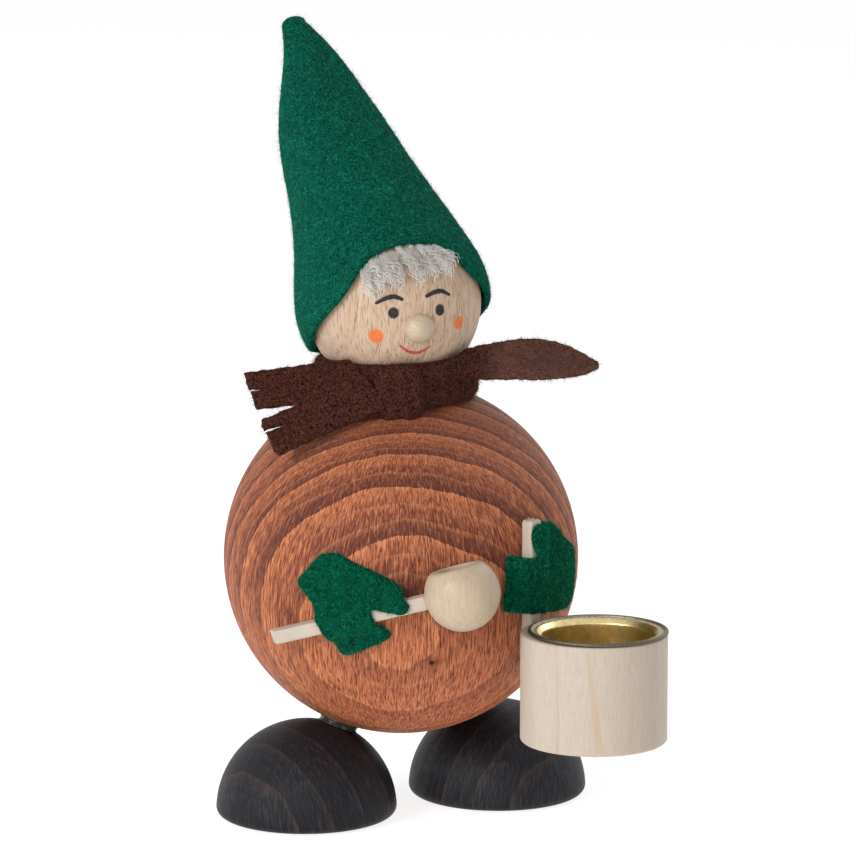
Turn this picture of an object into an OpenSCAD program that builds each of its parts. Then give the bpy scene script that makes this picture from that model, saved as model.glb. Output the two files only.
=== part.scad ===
// Wooden gnome candle holder: a stained ball body on two half-ball feet, a ball head
// with a peg nose, a felt cone hat, a tied felt scarf, felt mittens, a ladle, and a
// turned bucket that holds a brass candle cup.
// The figure faces -Y, its left hand is at +X, and it stands on the plane z = 0.

/* [Body] */
// Diameter of the body ball
ball_d = 75; // [65:1:90]
// Depth of the flat on the ball that the head sits on
neck_flat = 0.5; // [0.2:0.1:1.2]
// Depth of the flats on the ball that the two sticks are glued to
stick_flat = 0.15; // [0.1:0.05:0.5]
// Lean of the neck towards the figure's right, in degrees
neck_lean = 1.9; // [0:0.1:4]

/* [Head] */
// Diameter of the head ball
head_d = 37; // [32:0.5:42]
// Depth of the flat under the head
head_flat = 0.94; // [0.4:0.02:1.6]
// Turn of the face towards the figure's right, in degrees
head_turn = 7; // [0:0.5:25]
// Diameter of the nose peg
nose_d = 6.2; // [4:0.1:8]
// How far the nose stands out of the head
nose_reach = 3; // [2:0.1:4]
// Height of the nose peg's domed end
nose_dome = 2.2; // [1:0.1:2.8]
// Depth of the nose peg's socket in the head
nose_socket = 5; // [3:0.5:8]
// Slope of the nose below the level of the head's middle, in degrees
nose_drop = 10; // [0:1:20]

/* [Feet] */
// Diameter of a foot
foot_d = 38.2; // [32:0.2:44]
// Height of the half ball's middle above the sole
foot_mid = 0.9; // [0.4:0.1:1.6]
// Distance between the middles of the two feet
foot_spread = 44.6; // [40:0.2:52]
// How far the feet stand in front of the ball's middle
foot_forward = 0.8; // [0:0.1:4]
// Radius of the eased edge round the sole
sole_edge = 1.8; // [1.7:0.1:3]
// Depth of the flat on a foot, under the ball
foot_flat = 0.4; // [0.2:0.05:0.8]
// Gap between a foot's flat and the ball, where the dowel shows
foot_gap = 0.8; // [0.4:0.1:1.2]

/* [Dowels] */
// Diameter of the neck dowel
neck_dowel_d = 8; // [5:0.5:9]
// Length of the neck dowel
neck_dowel_l = 24; // [14:1:30]
// Diameter of a foot dowel
foot_dowel_d = 7; // [4:0.5:8]
// Length of a foot dowel
foot_dowel_l = 20; // [12:1:26]
// Radial glue gap round a dowel or a peg
glue_gap = 0.05; // [0.02:0.01:0.15]
// Space left past the end of a dowel or a peg
end_gap = 0.5; // [0.2:0.1:1.5]

/* [Bucket] */
// Diameter of the bucket
bucket_d = 30; // [29:0.5:36]
// Height of the bucket
bucket_h = 22.4; // [18:0.2:30]
// Depth of the bucket's rim below the ball's middle
bucket_drop = 8.2; // [5:0.1:12]
// Direction of the bucket, in degrees from the front towards the figure's left
bucket_turn = 21.6; // [15:0.2:30]
// Depth of the flat on the bucket that its stave is glued to
bucket_flat = 0.4; // [0.4:0.05:0.8]
// Bevel on the bucket's lower edge
bucket_bevel = 0.4; // [0.2:0.1:1]
// Width of the tall stave
stave_w = 3.2; // [2.4:0.1:4]
// Thickness of the tall stave
stave_t = 2.8; // [2:0.1:4]
// Length of the tall stave
stave_l = 40; // [34:0.5:44]
// Height of the stave's upper end above the ball's middle
stave_rise = 13; // [11:0.5:18]
// Sideways place of the stave, towards the figure's right
stave_shift = 1.4; // [0:0.1:1.6]
// Diameter of the brad that pins the stave to the ball
brad_d = 1.4; // [1:0.1:1.8]
// Length of the brad
brad_l = 12; // [8:0.5:16]

/* [Candle cup] */
// Diameter of the candle that the cup takes
candle_d = 22; // [21:0.1:23]
// Radial room round the candle
candle_room = 0.5; // [0.2:0.05:0.6]
// Depth of the cup
cup_depth = 15; // [12:0.5:16]
// Thickness of the brass
cup_wall = 0.5; // [0.4:0.05:0.7]
// Diameter of the cup's flange
flange_d = 28.6; // [27.6:0.1:29]
// Radius of the bead rolled round the flange
flange_bead = 0.45; // [0.3:0.05:0.6]
// Width and depth of the bevel that leads into the cup
lead_in = 1; // [0.5:0.1:1.2]
// Radial room of the cup in the bucket
cup_room = 0.2; // [0.1:0.05:0.3]
// Distance of the cup's middle from the bucket's middle, away from the ball
cup_shift = 1.1; // [0.8:0.1:1.3]

/* [Ladle] */
// Diameter of the ladle's bowl bead
bowl_d = 15.4; // [13:0.2:18]
// Height of the bowl's flat rim above the bead's middle
bowl_rim = 5.4; // [4.6:0.1:6]
// Diameter of the hollow in the bowl
hollow_d = 8; // [6:0.2:8.4]
// Depth of the hollow in the bowl
hollow_depth = 6; // [5:0.2:8]
// Width of the ladle's handle
handle_w = 2.9; // [2.4:0.1:4]
// Thickness of the ladle's handle
handle_t = 2.8; // [2.4:0.1:4]
// Length of the handle from the ball's touching point to its free end
handle_tail = 19.2; // [14:0.2:22]
// Slope of the handle's cut free end, in degrees
handle_cut = 30; // [0:5:40]
// Diameter of the handle's round tenon
tenon_d = 2.2; // [1.6:0.1:2.4]
// Length of the handle's round tenon
tenon_l = 2.4; // [1.5:0.1:2.6]
// Direction of the ladle, in degrees from the front towards the figure's right
ladle_turn = 38; // [30:0.5:50]
// Slope of the ladle's touching point below the ball's middle, in degrees
ladle_drop = 8; // [2:0.2:16]
// Rise of the handle towards the bowl, in degrees
ladle_rise = 16; // [0:0.2:25]
// Roll of the bowl's rim towards the ball, in degrees
ladle_roll = 10; // [0:1:20]

/* [Mittens] */
// Length of a mitten, from its cuff to the tip of its thumb
mitten_l = 24; // [21:0.5:27]
// Thickness of the mittens' felt
mitten_felt = 1; // [0.8:0.1:1.1]
// How softly the cut corners of the mittens are rounded
mitten_soft = 1.2; // [0.5:0.1:2]
// Run of the felt from the edge of a stick down to the ball
mitten_slope = 2.4; // [1.5:0.1:3.5]

/* [Hat] */
// Thickness of the hat's felt
hat_felt = 1.5; // [1:0.1:2]
// Air between the hat and the head
hat_gap = 0.12; // [0.1:0.02:0.4]
// Distance from the head's middle to the tip of the hat
hat_l = 67.5; // [60:0.5:80]
// How far past the tip the hat's straight sides would meet
hat_taper = 5.5; // [4:0.5:9]
// Radius of the rounded tip
hat_tip = 1.8; // [1.2:0.1:2.6]
// Lean of the hat to the back, in degrees
hat_lean = 31.5; // [20:0.5:40]
// Lean of the hat to the figure's right, in degrees
hat_side = 4.5; // [0:0.5:15]
// Height of the hat's rim below the head's middle
rim_drop = 1; // [0:0.1:2]
// Tilt of the rim against the hat's axis, to the back, in degrees
rim_tilt = 2.1; // [1:0.1:4]
// Tilt of the rim against the hat's axis, to the figure's left, in degrees
rim_roll = 1.7; // [0:0.1:4]
// How far the rim droops at the two sides
rim_droop = 4.2; // [3:0.1:6]
// How far the wool lifts the rim in front
rim_lift = 4.8; // [3:0.1:5.5]
// How far the rim flares at the two sides
rim_flare = 0.5; // [0:0.1:1.5]
// How far the fold on the figure's right stands out
fold_out = 4.8; // [0:0.1:6]
// Height of that fold above the head's middle
fold_at = 44; // [35:1:50]
// Half the length of that fold
fold_run = 19; // [12:1:22]
// How far the tip is bent over
tip_bend = 3.4; // [0:0.1:5]
// Length of the bent part of the tip
tip_run = 18; // [8:0.5:20]

/* [Hair] */
// Thickness of the wool under the rim
hair_t = 1.7; // [1:0.1:2.4]
// Length of the wool down the forehead
hair_l = 9; // [7:0.2:10]
// Spread of the wool to each side, in degrees
hair_spread = 37; // [30:1:40]
// Turn of the wool's middle towards the figure's right, in degrees
hair_turn = 12; // [0:1:20]

/* [Scarf] */
// Thickness of the scarf's felt
scarf_felt = 1.5; // [1:0.1:2]
// Thickness of the wound band round the neck
band_t = 5.2; // [4:0.2:6.4]
// Mean radius of the wound band
band_r = 14.8; // [14:0.1:16.4]
// Height of the wound band
band_h = 9.8; // [8:0.2:11]
// Height of the band's middle above the neck's flat
band_rise = 1.7; // [1:0.1:2.4]
// How far the knot stands out of the band
knot_out = 1.2; // [0.6:0.1:2]
// Width of the knot, in degrees round the neck
knot_spread = 30; // [20:1:40]
// Direction of the knot, in degrees from the front towards the figure's right
knot_turn = 21; // [10:1:35]
// Length of the long plain end
long_end = 33; // [26:0.5:36]
// Greatest width of the long plain end
long_end_w = 8; // [6:0.2:10]
// Length of the short fringed end
short_end = 22; // [18:0.5:26]
// Width of the fringed end at its cut edge
fringe_w = 18; // [14:0.5:22]

/* [Hidden] */

$fn = 72;

// A hair's breadth that keeps glued round faces from cutting into each other
touch = 0.03;
// How far the scarf gives way to the hat's rim
press = 0.15;
// Steps to a mitten's length, on the grid that its outline is drawn on
mitten_grid = 24;
// How far below the ball's flat the felt's slope meets the ball
mitten_sink = 1;
// How far a cutting tool runs past the piece that it cuts
over = 10;

ball_r = ball_d / 2;
head_r = head_d / 2;
foot_r = foot_d / 2;
foot_x = foot_spread / 2;

// The eased edge's middle, and the point where it runs into the half ball
edge_x = sqrt((foot_r - sole_edge) ^ 2 - (sole_edge - foot_mid) ^ 2);
edge_join = [0, foot_mid] + [edge_x, sole_edge - foot_mid] * foot_r / (foot_r - sole_edge);

// The ball stands on the two foot dowels, in line with the middles of the feet
foot_face = foot_r - foot_flat;
foot_reach = foot_face + foot_gap + ball_r;
ball_z = foot_mid + sqrt(foot_reach ^ 2 - foot_x ^ 2 - foot_forward ^ 2);

// Distances from the ball's middle, upwards along the neck
neck_up = ball_r - neck_flat;
head_up = neck_up + head_r - head_flat;

// Distances from the ball's middle, outwards along the bucket's direction
stick_face = ball_r - stick_flat;
bucket_r = bucket_d / 2;
bucket_out = stick_face + stave_t + bucket_r - bucket_flat;
cup_out = bucket_out + cup_shift;

cup_r = candle_d / 2 + candle_room;
cup_outer = cup_r + cup_wall;

bowl_r = bowl_d / 2;
handle_axis = stick_face + handle_t / 2;
bowl_at = sqrt((ball_r + bowl_r + touch) ^ 2 - handle_axis ^ 2);
handle_end = bowl_at - sqrt(bowl_r ^ 2 - (norm([handle_w, handle_t]) / 2) ^ 2);

hat_r = head_r + hat_gap + hat_felt;
hat_apex = hat_l + hat_taper;
hat_slope = hat_r / sqrt(hat_apex ^ 2 - hat_r ^ 2);
// Height at which the hat's straight sides touch the head; below it the felt hugs the ball
hat_touch = hat_r ^ 2 / hat_apex;
// Height over which the rim's flare dies out
flare_run = head_r;

STAINED_BEECH = [0.58, 0.32, 0.22];
PALE_BEECH = [0.85, 0.75, 0.64];
BLACK_STAIN = [0.16, 0.15, 0.15];
GREEN_FELT = [0.03, 0.34, 0.24];
BROWN_FELT = [0.28, 0.17, 0.14];
GREY_WOOL = [0.78, 0.76, 0.74];
BRASS = [0.76, 0.64, 0.3];
STEEL = [0.6, 0.6, 0.62];

function unit(v) = v / norm(v);
function mix(a, b, t) = a + (b - a) * t;
function bell(x, middle, width) = exp(-((x - middle) / width) ^ 2);

// A closed outline whose corners are rounded by a short curve
function soft_outline(points, cut) = [
    for (i = [0 : len(points) - 1])
        let (
            p = points[i],
            before = points[(i + len(points) - 1) % len(points)],
            after = points[(i + 1) % len(points)],
            a = p + unit(before - p) * min(cut, 0.45 * norm(before - p)),
            b = p + unit(after - p) * min(cut, 0.45 * norm(after - p))
        )
        for (t = [0 : 0.25 : 1]) mix(mix(a, p, t), mix(p, b, t), t)
];

// The neck's frame: at the ball's middle, with z along the neck
module on_neck() {
    translate([0, 0, ball_z]) rotate([0, -neck_lean, 0]) children();
}

// Frames that look out of the ball or the head: x to the right, y up, z outwards
module on_ball(turn, rise) {
    translate([0, 0, ball_z]) rotate([90 - rise, 0, turn]) children();
}

module on_head(turn, rise) {
    on_neck() translate([0, 0, head_up]) rotate([90 - rise, 0, turn]) children();
}

// The hat's frame: at the head's middle, with z along the hat
module hat_frame() {
    on_neck() translate([0, 0, head_up]) rotate([-hat_lean, 0, hat_side]) children();
}

// A frame whose z axis runs along a direction
module along(v) {
    rotate([0, acos(v[2] / norm(v)), atan2(v[1], v[0])]) children();
}

// A block that is centred on x and y and starts at z = 0
module block(w, l, h) {
    translate([-w / 2, -l / 2, 0]) cube([w, l, h]);
}

// Everything farther than a distance from the ball's or the head's middle
module cut_flat(distance, reach) {
    translate([0, 0, distance]) cylinder(r = reach, h = over);
}

// The frame at the middle of a foot, looking at the ball's middle
module foot_frame(side) {
    translate([side * foot_x, -foot_forward, foot_mid])
        along([-side * foot_x, foot_forward, ball_z - foot_mid]) children();
}

module foot_dowel_shape(side, gap, past) {
    foot_frame(side)
        translate([0, 0, foot_face + foot_gap / 2 - foot_dowel_l / 2 - past])
            cylinder(d = foot_dowel_d + 2 * gap, h = foot_dowel_l + 2 * past);
}

module neck_dowel_shape(gap, past) {
    on_neck() translate([0, 0, neck_up - neck_dowel_l / 2 - past])
        cylinder(d = neck_dowel_d + 2 * gap, h = neck_dowel_l + 2 * past);
}

module brad_shape(gap, past) {
    on_ball(bucket_turn, 0)
        translate([-stave_shift, 0, stick_face + stave_t - brad_l - past])
            cylinder(d = brad_d + 2 * gap, h = brad_l + past);
}

// The body: a turned ball with flats and bores for what is glued to it
module ball_body() {
    color(STAINED_BEECH) difference() {
        translate([0, 0, ball_z]) sphere(r = ball_r);
        on_neck() cut_flat(neck_up, ball_r / 2);
        for (side = [-1, 1]) foot_dowel_shape(side, glue_gap, end_gap);
        on_ball(bucket_turn, 0) cut_flat(stick_face, bucket_r);
        on_ball(-ladle_turn, -ladle_drop) cut_flat(stick_face, bowl_r);
        neck_dowel_shape(glue_gap, end_gap);
        brad_shape(glue_gap, end_gap);
    }
}

// The head: a turned ball with a flat, a dowel bore and the nose's socket
module head() {
    color(PALE_BEECH) difference() {
        on_neck() translate([0, 0, head_up]) sphere(r = head_r);
        on_neck() translate([0, 0, neck_up - over]) cylinder(r = head_r / 2, h = over);
        neck_dowel_shape(glue_gap, end_gap);
        on_head(-head_turn, -nose_drop)
            translate([0, 0, head_r - nose_socket]) cylinder(d = nose_d + 2 * glue_gap, h = over);
    }
}

module neck_dowel() {
    color(PALE_BEECH) neck_dowel_shape(0, 0);
}

// The nose: a dowel with a domed end
module nose() {
    straight = nose_socket - end_gap + nose_reach - nose_dome;
    dome_r = ((nose_d / 2) ^ 2 + nose_dome ^ 2) / (2 * nose_dome);
    color(PALE_BEECH) on_head(-head_turn, -nose_drop) translate([0, 0, head_r - nose_socket + end_gap]) {
        intersection() {
            cylinder(d = nose_d, h = straight + nose_dome);
            translate([0, 0, straight + nose_dome - dome_r]) union() {
                sphere(r = dome_r);
                translate([0, 0, -over]) cylinder(d = nose_d, h = over);
            }
        }
    }
}

// Radius of the hat's outside at a height and an angle round its axis
function hat_outer(s, angle) =
    (s > hat_touch ? (hat_apex - s) * hat_slope : sqrt(hat_r ^ 2 - s ^ 2))
    + sin(angle) ^ 2 * rim_flare * bell(s, 0, flare_run)
    + max(0, -sin(angle)) ^ 2 * fold_out * bell(s, fold_at, fold_run);

// Height of the hat's rim at an angle round its axis: tilted, low at the two sides, and
// lifted over the wool
function rim_height(angle) =
    let (off = (angle + hair_turn + 540) % 360 - 180)
    hat_r * (tan(rim_tilt) * cos(angle) - tan(rim_roll) * sin(angle)) - rim_drop
    - rim_droop * sin(off) ^ 2 + rim_lift * exp(-(off / hair_spread) ^ 4);

// Sideways bend of the hat's axis near the tip
function hat_bend(s) = -tip_bend * max(0, (s - hat_l + tip_run) / tip_run) ^ 2;

// One ring of the hat, at a share of the height from the rim to the tip
function hat_ring(share, tip_z, shrink, inset, sides) = [
    for (k = [0 : sides - 1])
        let (
            angle = 360 * k / sides,
            s = mix(rim_height(angle), tip_z, share),
            r = (hat_outer(s, angle) - inset) * shrink
        )
        [r * sin(angle) + hat_bend(s), -r * cos(angle), s]
];

// Heights and widths of the hat's rings: the straight side, then the rounded tip
function hat_rings(top, inset, sides, rows) = concat(
    [for (i = [0 : rows]) hat_ring(i / rows, top - hat_tip, 1, inset, sides)],
    [for (a = [30 : 30 : 60]) hat_ring(1, top - hat_tip + hat_tip * sin(a), cos(a), inset, sides)]
);

// The hat: a felt cone with a fold and a bent tip, open at the rim
module hat() {
    sides = 40;
    rows = 12;
    inner_top = hat_l - 4 * hat_felt;
    outer = hat_rings(hat_l, 0, sides, rows);
    inner = hat_rings(inner_top, hat_felt, sides, rows);
    rings = len(outer);
    points = concat(
        [for (ring = outer) each ring],
        [for (ring = inner) each ring],
        [[hat_bend(hat_l), 0, hat_l], [hat_bend(inner_top), 0, inner_top]]
    );
    under = rings * sides;
    function at(i, k) = i * sides + k % sides;
    faces = concat(
        [for (i = [0 : rings - 2], k = [0 : sides - 1]) each [
            [at(i, k), at(i + 1, k), at(i + 1, k + 1)],
            [at(i, k), at(i + 1, k + 1), at(i, k + 1)],
            [under + at(i, k), under + at(i + 1, k + 1), under + at(i + 1, k)],
            [under + at(i, k), under + at(i, k + 1), under + at(i + 1, k + 1)]
        ]],
        [for (k = [0 : sides - 1]) each [
            [at(0, k), at(0, k + 1), under + at(0, k + 1)],
            [at(0, k), under + at(0, k + 1), under + at(0, k)],
            [at(rings - 1, k), 2 * under, at(rings - 1, k + 1)],
            [under + at(rings - 1, k), under + at(rings - 1, k + 1), 2 * under + 1]
        ]]
    );
    color(GREEN_FELT) hat_frame() polyhedron(points, faces, convexity = 6);
}

// The space that the hat takes at the back of its rim, where it presses into the scarf
module hat_room() {
    room_r = hat_r + rim_flare + press;
    low = min([for (angle = [140 : 10 : 220]) rim_height(angle)]) - press;
    hat_frame() intersection() {
        sphere(r = room_r);
        translate([0, 0, low]) cylinder(r = 2 * room_r, h = 2 * room_r);
    }
}

// The wool: a crescent on the forehead, from the hat's rim downwards
module hair() {
    steps = 12;
    round_off = hair_l / 4;
    low = rim_height(-hair_turn) - hair_l;
    function across(angle) = (head_r + hat_gap) * sin(angle);
    left = across(-hair_turn - hair_spread);
    right = across(-hair_turn + hair_spread);
    outline = concat(
        [for (i = [0 : steps])
            let (angle = -hair_turn + hair_spread * (2 * i / steps - 1))
            [across(angle), rim_height(angle) - touch]],
        [[right, low + round_off], [right - round_off, low], [left + round_off, low], [left, low + round_off]]
    );
    color(GREY_WOOL) hat_frame() intersection() {
        difference() {
            sphere(r = head_r + hair_t);
            sphere(r = head_r + touch);
        }
        rotate([90, 0, 0]) linear_extrude(2 * head_r) polygon(outline);
    }
}

// A sheet of felt as a solid, from a grid of points on its middle layer.
// keep(i, j) tells whether the cell between rows i, i + 1 and columns j, j + 1 is cloth.
module felt_sheet(grid, thickness, keep) {
    rows = len(grid);
    columns = len(grid[0]);
    function normal(i, j) = unit(cross(
        grid[min(i + 1, rows - 1)][j] - grid[max(i - 1, 0)][j],
        grid[i][min(j + 1, columns - 1)] - grid[i][max(j - 1, 0)]
    ));
    function layer(sign) = [
        for (i = [0 : rows - 1], j = [0 : columns - 1]) grid[i][j] + sign * thickness / 2 * normal(i, j)
    ];
    function has(i, j) = i >= 0 && j >= 0 && i < rows - 1 && j < columns - 1 && keep(i, j);
    function at(i, j) = i * columns + j;
    below = rows * columns;
    function wall(a, b) = [[a, b, below + b], [a, below + b, below + a]];
    faces = [
        for (i = [0 : rows - 2], j = [0 : columns - 2]) if (keep(i, j)) each concat(
            [
                [at(i, j), at(i, j + 1), at(i + 1, j + 1)],
                [at(i, j), at(i + 1, j + 1), at(i + 1, j)],
                [below + at(i, j), below + at(i + 1, j + 1), below + at(i, j + 1)],
                [below + at(i, j), below + at(i + 1, j), below + at(i + 1, j + 1)]
            ],
            has(i - 1, j) ? [] : wall(at(i, j + 1), at(i, j)),
            has(i + 1, j) ? [] : wall(at(i + 1, j), at(i + 1, j + 1)),
            has(i, j - 1) ? [] : wall(at(i, j), at(i + 1, j)),
            has(i, j + 1) ? [] : wall(at(i + 1, j + 1), at(i, j + 1))
        )
    ];
    polyhedron(concat(layer(1), layer(-1)), faces, convexity = 8);
}

// The section of the wound band: a bar with round edges
module band_section(thickness, height) {
    translate([band_r, 0]) {
        square([thickness, height - thickness], center = true);
        for (end = [-1, 1]) translate([0, end * (height - thickness) / 2]) circle(d = thickness);
    }
}

// A point on the band's outermost turn, at an angle from the front towards the figure's
// right, a distance out of that turn, and a share of the band's height above its middle
function on_band(angle, out, share) =
    let (r = band_r + band_t / 2 - scarf_felt / 2 + out)
    [-r * sin(angle), -r * cos(angle), neck_up + band_rise + share * band_h];

// A point pushed out of the ball, so that the felt lies on it
function off_ball(p) = unit(p) * max(norm(p), ball_r + scarf_felt / 2 + touch);

// The long end: a leaf of felt that stands out to the figure's left
module scarf_long_end() {
    root = on_band(-28, 0, 0.38);
    tip = root + long_end * [1, 0.14, -0.08];
    wave = 0.15 * long_end_w;
    steps = 10;
    function half_width(t) = long_end_w / 2 * (0.9 + 0.5 * t - 1.25 * t ^ 4);
    grid = [
        for (i = [0 : steps])
            let (t = i / steps, middle = mix(root, tip, t))
            [for (v = [-1, 0, 1])
                middle + [0, -wave * sin(270 * t), v * half_width(t) + wave * sin(180 * t)]]
    ];
    felt_sheet(grid, scarf_felt, function(i, j) true);
}

// The short end: it lies over the ball's shoulder and is cut into four fingers
module scarf_short_end() {
    root_top = on_band(64, 0, 0.55);
    root_low = on_band(30, knot_out, -0.3);
    away = unit([-0.86, 0.42, -0.1]);
    down = unit([4, -7.2, -17]);
    end_top = root_top + away * short_end;
    end_low = end_top + down * fringe_w;
    billow = fringe_w / 12;
    // Shares of the cut edge where the fingers begin and end
    fingers = [[0, 0.19], [0.23, 0.42], [0.62, 0.71], [0.74, 1]];
    // Shares of the length where the cuts between the fingers begin
    cuts = [0.9, 0.66, 0.76];
    // Share of a finger's step that a closed cut takes
    closed = 0.1;
    steps = 10;
    columns = 3 * len(fingers);
    shares = [for (f = fingers) each [f[0], (f[0] + f[1]) / 2, f[1]]];
    span = columns - 1 - len(cuts) * (1 - closed);
    even = [for (k = [0 : columns - 1]) (k - floor(k / 3) * (1 - closed)) / span];
    grid = [
        for (i = [0 : steps])
            let (t = i / steps)
            [for (k = [0 : columns - 1])
                let (
                    v = mix(even[k], shares[k], t ^ 1.5),
                    root = mix(root_top, root_low, v),
                    end = mix(end_top, end_low, v)
                )
                off_ball(mix(root, end, t) - [0, billow * sin(180 * t) * sin(180 * v), 0])]
    ];
    felt_sheet(grid, scarf_felt, function(i, j) j % 3 != 2 || i / steps < cuts[floor(j / 3)]);
}

// The wound band with the knot in front
module scarf_band() {
    on_neck() translate([0, 0, neck_up + band_rise]) {
        rotate_extrude() band_section(band_t, band_h);
        translate([0, 0, -knot_out / 2]) rotate([0, 0, 270 - knot_turn - knot_spread / 2])
            rotate_extrude(angle = knot_spread) band_section(band_t + 2 * knot_out, band_h + knot_out);
    }
}

// The scarf: one strip of felt wound round the neck and tied in front
module scarf() {
    color(BROWN_FELT) difference() {
        union() {
            scarf_band();
            translate([0, 0, ball_z]) {
                scarf_long_end();
                scarf_short_end();
            }
        }
        translate([0, 0, ball_z]) sphere(r = ball_r + touch);
        on_neck() translate([0, 0, head_up]) sphere(r = head_r + touch);
        hat_room();
    }
}

// A mitten cut from felt: the outline, pressed over the ball and over a stick
// that leans by an angle and runs past the middle at a distance
module mitten(outline, stick_w, stick_t, lean, aside) {
    top = stick_face + stick_t;
    module skin(felt) {
        sphere(r = ball_r + felt + touch);
        rotate([0, 0, lean]) translate([0, aside, 0]) rotate([90, 0, 90]) translate([0, 0, -2 * over])
            linear_extrude(4 * over) polygon([
                [-stick_w / 2 - mitten_slope - felt, stick_face - over],
                [-stick_w / 2 - mitten_slope - felt, stick_face - mitten_sink],
                [-stick_w / 2 - felt / 2, top + felt],
                [stick_w / 2 + felt / 2, top + felt],
                [stick_w / 2 + mitten_slope + felt, stick_face - mitten_sink],
                [stick_w / 2 + mitten_slope + felt, stick_face - over]
            ]);
    }
    difference() {
        intersection() {
            translate([0, 0, ball_r / 2]) linear_extrude(ball_r)
                polygon(soft_outline(outline, mitten_soft));
            skin(mitten_felt);
        }
        skin(0);
    }
}

// The right mitten holds the ladle: cuff at the upper left, thumb along the handle
module mitten_right() {
    outline = [
        [-12, 5.8], [-6.6, 12], [-3.4, 12.6], [4.6, 9.2], [10.2, 6.2], [12, 3.6], [10.6, 1.6],
        [4.6, 2.2], [5.4, -0.6], [8.4, -4], [7.2, -5], [-0.8, -8.4], [-2.8, -8.6], [-7.6, 1.4]
    ];
    color(GREEN_FELT) on_ball(-ladle_turn, -ladle_drop)
        mitten(outline * mitten_l / mitten_grid, handle_w, handle_t, ladle_rise, 0);
}

// The left mitten holds the bucket's stave: fingers across it, thumb pointing up
module mitten_left() {
    outline = [
        [-7.4, 6], [-8.4, -4], [-7.4, -5], [-0.4, -6], [11.6, -7.2], [14.6, -3.6], [15.2, 2.6],
        [13.4, 5], [9.2, 9.6], [3.6, 10.8], [0.2, 10.2], [-0.4, 8.4], [1.2, 5]
    ];
    color(GREEN_FELT) on_ball(bucket_turn, 0)
        mitten(outline * mitten_l / mitten_grid, stave_w, stave_t, 90, stave_shift);
}

// Frame of the ladle: x along the handle towards the bowl, z away from the ball
module ladle_frame() {
    on_ball(-ladle_turn, -ladle_drop) rotate([0, 0, ladle_rise])
        translate([0, 0, handle_axis]) children();
}

// The bowl: a bead with a flat rim, a drilled hollow and a bore for the handle
module ladle_bowl() {
    color(PALE_BEECH) ladle_frame() difference() {
        translate([bowl_at, 0, 0]) rotate([-90 - ladle_roll, 0, 0]) difference() {
            sphere(r = bowl_r);
            cut_flat(bowl_rim, bowl_r);
            translate([0, 0, bowl_rim - hollow_depth]) cylinder(d = hollow_d, h = over);
        }
        translate([handle_end - over, 0, 0]) rotate([0, 90, 0])
            cylinder(d = tenon_d + 2 * glue_gap, h = over + tenon_l + end_gap);
        translate([handle_end - over, -handle_w / 2 - touch, -handle_t / 2 - touch])
            cube([over, handle_w + 2 * touch, handle_t + 2 * touch]);
    }
}

// The handle: a split stick with a slanting cut and a whittled tenon
module ladle_handle() {
    length = handle_tail + handle_end;
    color(PALE_BEECH) ladle_frame() {
        difference() {
            translate([-handle_tail, -handle_w / 2, -handle_t / 2]) cube([length, handle_w, handle_t]);
            translate([-handle_tail, 0, -handle_t / 2]) rotate([0, handle_cut, 0])
                translate([-over, -over / 2, -over]) cube([over, over, 3 * over]);
        }
        rotate([0, 90, 0]) cylinder(d = tenon_d, h = handle_end + tenon_l);
    }
}

// Frame of the bucket: on its axis at the height of its rim, with y towards the ball
module bucket_frame(out) {
    translate([0, 0, ball_z - bucket_drop]) rotate([0, 0, bucket_turn])
        translate([0, -out, 0]) children();
}

// The bucket: a turned block bored for the cup, with a flat for its stave
module bucket() {
    color(PALE_BEECH) difference() {
        bucket_frame(bucket_out) rotate([0, 0, -90]) rotate_extrude() polygon([
            [0, 0], [0, -bucket_h], [bucket_r - bucket_bevel, -bucket_h],
            [bucket_r, bucket_bevel - bucket_h], [bucket_r, 0]
        ]);
        bucket_frame(cup_out) translate([0, 0, -cup_depth - cup_wall - end_gap])
            cylinder(r = cup_outer + cup_room, h = 3 * over);
        bucket_frame(stick_face + stave_t) translate([-bucket_r, 0, -bucket_h - over])
            cube([bucket_d, over, bucket_h + 2 * over]);
    }
}

// The tall stave: a stick between the ball and the bucket
module bucket_stave() {
    color(PALE_BEECH) difference() {
        on_ball(bucket_turn, 0) translate([-stave_shift, stave_rise - stave_l / 2, stick_face])
            block(stave_w, stave_l, stave_t);
        brad_shape(glue_gap, end_gap);
    }
}

module stave_brad() {
    color(STEEL) brad_shape(0, 0);
}

// The candle cup: thin brass with a flat flange and a beaded edge, seated on the bucket
module candle_cup() {
    flange_r = flange_d / 2;
    color(BRASS) bucket_frame(cup_out) rotate_extrude() {
        polygon([
            [0, -cup_depth - cup_wall], [cup_outer, -cup_depth - cup_wall], [cup_outer, 0],
            [flange_r - flange_bead, 0], [flange_r - flange_bead, cup_wall],
            [cup_r + lead_in, cup_wall], [cup_r, cup_wall - lead_in],
            [cup_r, -cup_depth], [0, -cup_depth]
        ]);
        translate([flange_r - flange_bead, flange_bead]) circle(r = flange_bead);
    }
}

// A foot: a half ball with an eased edge round the sole and a flat for the body.
// The sole's section runs up into the half ball, so the two are one piece at any size.
module foot(side) {
    color(BLACK_STAIN) difference() {
        translate([side * foot_x, -foot_forward, 0]) {
            intersection() {
                translate([0, 0, foot_mid]) sphere(r = foot_r);
                translate([0, 0, edge_join[1]]) cylinder(r = foot_d, h = foot_d);
            }
            rotate_extrude() {
                polygon([[0, 0], [edge_x, 0], [edge_x, sole_edge], edge_join, [0, foot_r]]);
                intersection() {
                    square([foot_d, edge_join[1]]);
                    translate([edge_x, sole_edge]) circle(r = sole_edge);
                }
            }
        }
        foot_frame(side) cut_flat(foot_face, foot_r);
        foot_dowel_shape(side, glue_gap, end_gap);
    }
}

module foot_right() {
    foot(-1);
}

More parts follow.
